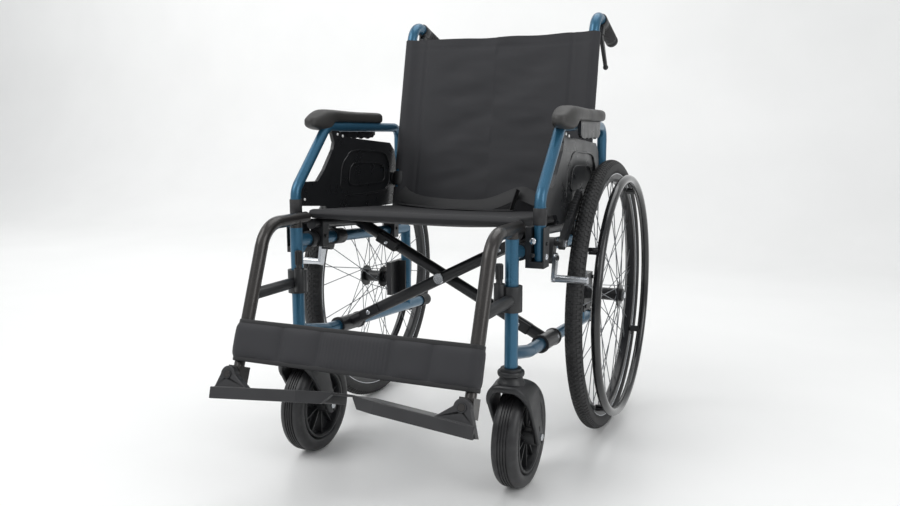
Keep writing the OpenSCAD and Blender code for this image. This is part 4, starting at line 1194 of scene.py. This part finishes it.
class WHEELCHAIR_OT_stage(bpy.types.Operator):
    """Sets the pale floor, the soft lights and the camera"""
    bl_idname = "wheelchair.stage"
    bl_label = "Stage"

    def execute(self, context):
        sizes = context.scene.wheelchair_stage
        scene = context.scene
        self.floor()
        scene.view_settings.view_transform = "Standard"
        world = bpy.data.worlds.new("studio")
        scene.world = world
        world.use_nodes = True
        world.node_tree.nodes["Background"].inputs["Color"].default_value = linear("#f4f6f8")
        world.node_tree.nodes["Background"].inputs["Strength"].default_value = 0.62
        chair, wall = (0, 0, 0.45), (-3.8, 3.8, 1.3)
        for name, at, size, power, aim in (("key", (-1.6, -1.8, 2.8), 2.2, 48, chair),
                                           ("fill", (2.8, -1.0, 1.8), 1.8, 26, chair),
                                           ("top", (0.2, 1.0, 3.2), 2.4, 30, chair),
                                           ("wall wash", (-3.6, 0.6, 3.4), 2.6, 62, wall)):
            self.lamp(name, at, size, power, aim)
        camera = bpy.data.objects.new("camera", bpy.data.cameras.new("camera"))
        scene.collection.objects.link(camera)
        camera.data.lens = sizes.lens
        camera.data.sensor_width = 36
        aim = (Matrix.Rotation(sizes.azimuth, 4, "Z") @ Matrix.Rotation(math.pi / 2 - sizes.pitch, 4, "X")
               @ Matrix.Rotation(math.radians(-0.13), 4, "Z"))
        camera.matrix_world = Matrix.Translation(sizes.eye) @ aim
        scene.camera = camera
        return {"FINISHED"}

    @staticmethod
    def floor():
        """A floor that curves up into a wall."""
        rings = []
        for x in (-9.0, 9.0):
            ring = [(x, -8.0, 0.0), (x, 2.6, 0.0)]
            ring += [(x, 2.6 + 1.2 * math.sin(t), 1.2 - 1.2 * math.cos(t))
                     for t in (math.pi / 2 * i / 10 for i in range(1, 11))]
            ring.append((x, 3.8, 6.0))
            rings.append(ring)
        floor = piece("floor", [loft(rings, closed_ring=False)], "polished_floor", slope=80)

    @staticmethod
    def lamp(name, at, size, power, aim):
        """A square lamp turned towards a point."""
        data = bpy.data.lights.new(name, "AREA")
        data.size = size
        data.energy = power
        lamp = bpy.data.objects.new(name, data)
        bpy.context.scene.collection.objects.link(lamp)
        lamp.location = at
        lamp.rotation_euler = (Vector(aim) - Vector(at)).to_track_quat("-Z", "Y").to_euler()


# ---------------------------------------------------------------- add-on


OPERATORS = [
    WHEELCHAIR_OT_finishes, WHEELCHAIR_OT_stage, WHEELCHAIR_OT_seat, WHEELCHAIR_OT_back,
    WHEELCHAIR_OT_calf_strap, WHEELCHAIR_OT_lap_belt, WHEELCHAIR_OT_arm_pads, WHEELCHAIR_OT_rear_tyres,
    WHEELCHAIR_OT_casters, WHEELCHAIR_OT_fittings,
]
GROUPS = {
    "wheelchair_paint": PaintColours, "wheelchair_stage": StageSizes, "wheelchair_seat": SeatSizes,
    "wheelchair_back": BackSizes, "wheelchair_strap": StrapSizes, "wheelchair_pad": PadSizes,
    "wheelchair_tyre": TyreSizes,
}


class WHEELCHAIR_PT_panel(bpy.types.Panel):
    """Lists the sizes, the colours and the pieces of the wheelchair"""
    bl_idname = "WHEELCHAIR_PT_panel"
    bl_label = "Wheelchair"
    bl_space_type = "VIEW_3D"
    bl_region_type = "UI"
    bl_category = "Wheelchair"

    def draw(self, context):
        for name, group in GROUPS.items():
            for prop in group.__annotations__:
                self.layout.prop(getattr(context.scene, name), prop)
        for operator in OPERATORS:
            self.layout.operator(operator.bl_idname)


def register():
    """Registers the sizes, the operators and the panel."""
    for group in GROUPS.values():
        bpy.utils.register_class(group)
    for name, group in GROUPS.items():
        setattr(bpy.types.Scene, name, PointerProperty(type=group))
    for operator in OPERATORS:
        bpy.utils.register_class(operator)
    bpy.utils.register_class(WHEELCHAIR_PT_panel)


def unregister():
    """Takes them all out again."""
    bpy.utils.unregister_class(WHEELCHAIR_PT_panel)
    for operator in reversed(OPERATORS):
        bpy.utils.unregister_class(operator)
    for name, group in GROUPS.items():
        delattr(bpy.types.Scene, name)
        bpy.utils.unregister_class(group)


def main():
    """Makes everything in order."""
    register()
    for operator in OPERATORS:
        area, name = operator.bl_idname.split(".")
        getattr(getattr(bpy.ops, area), name)()


if __name__ == "__main__":
    main()
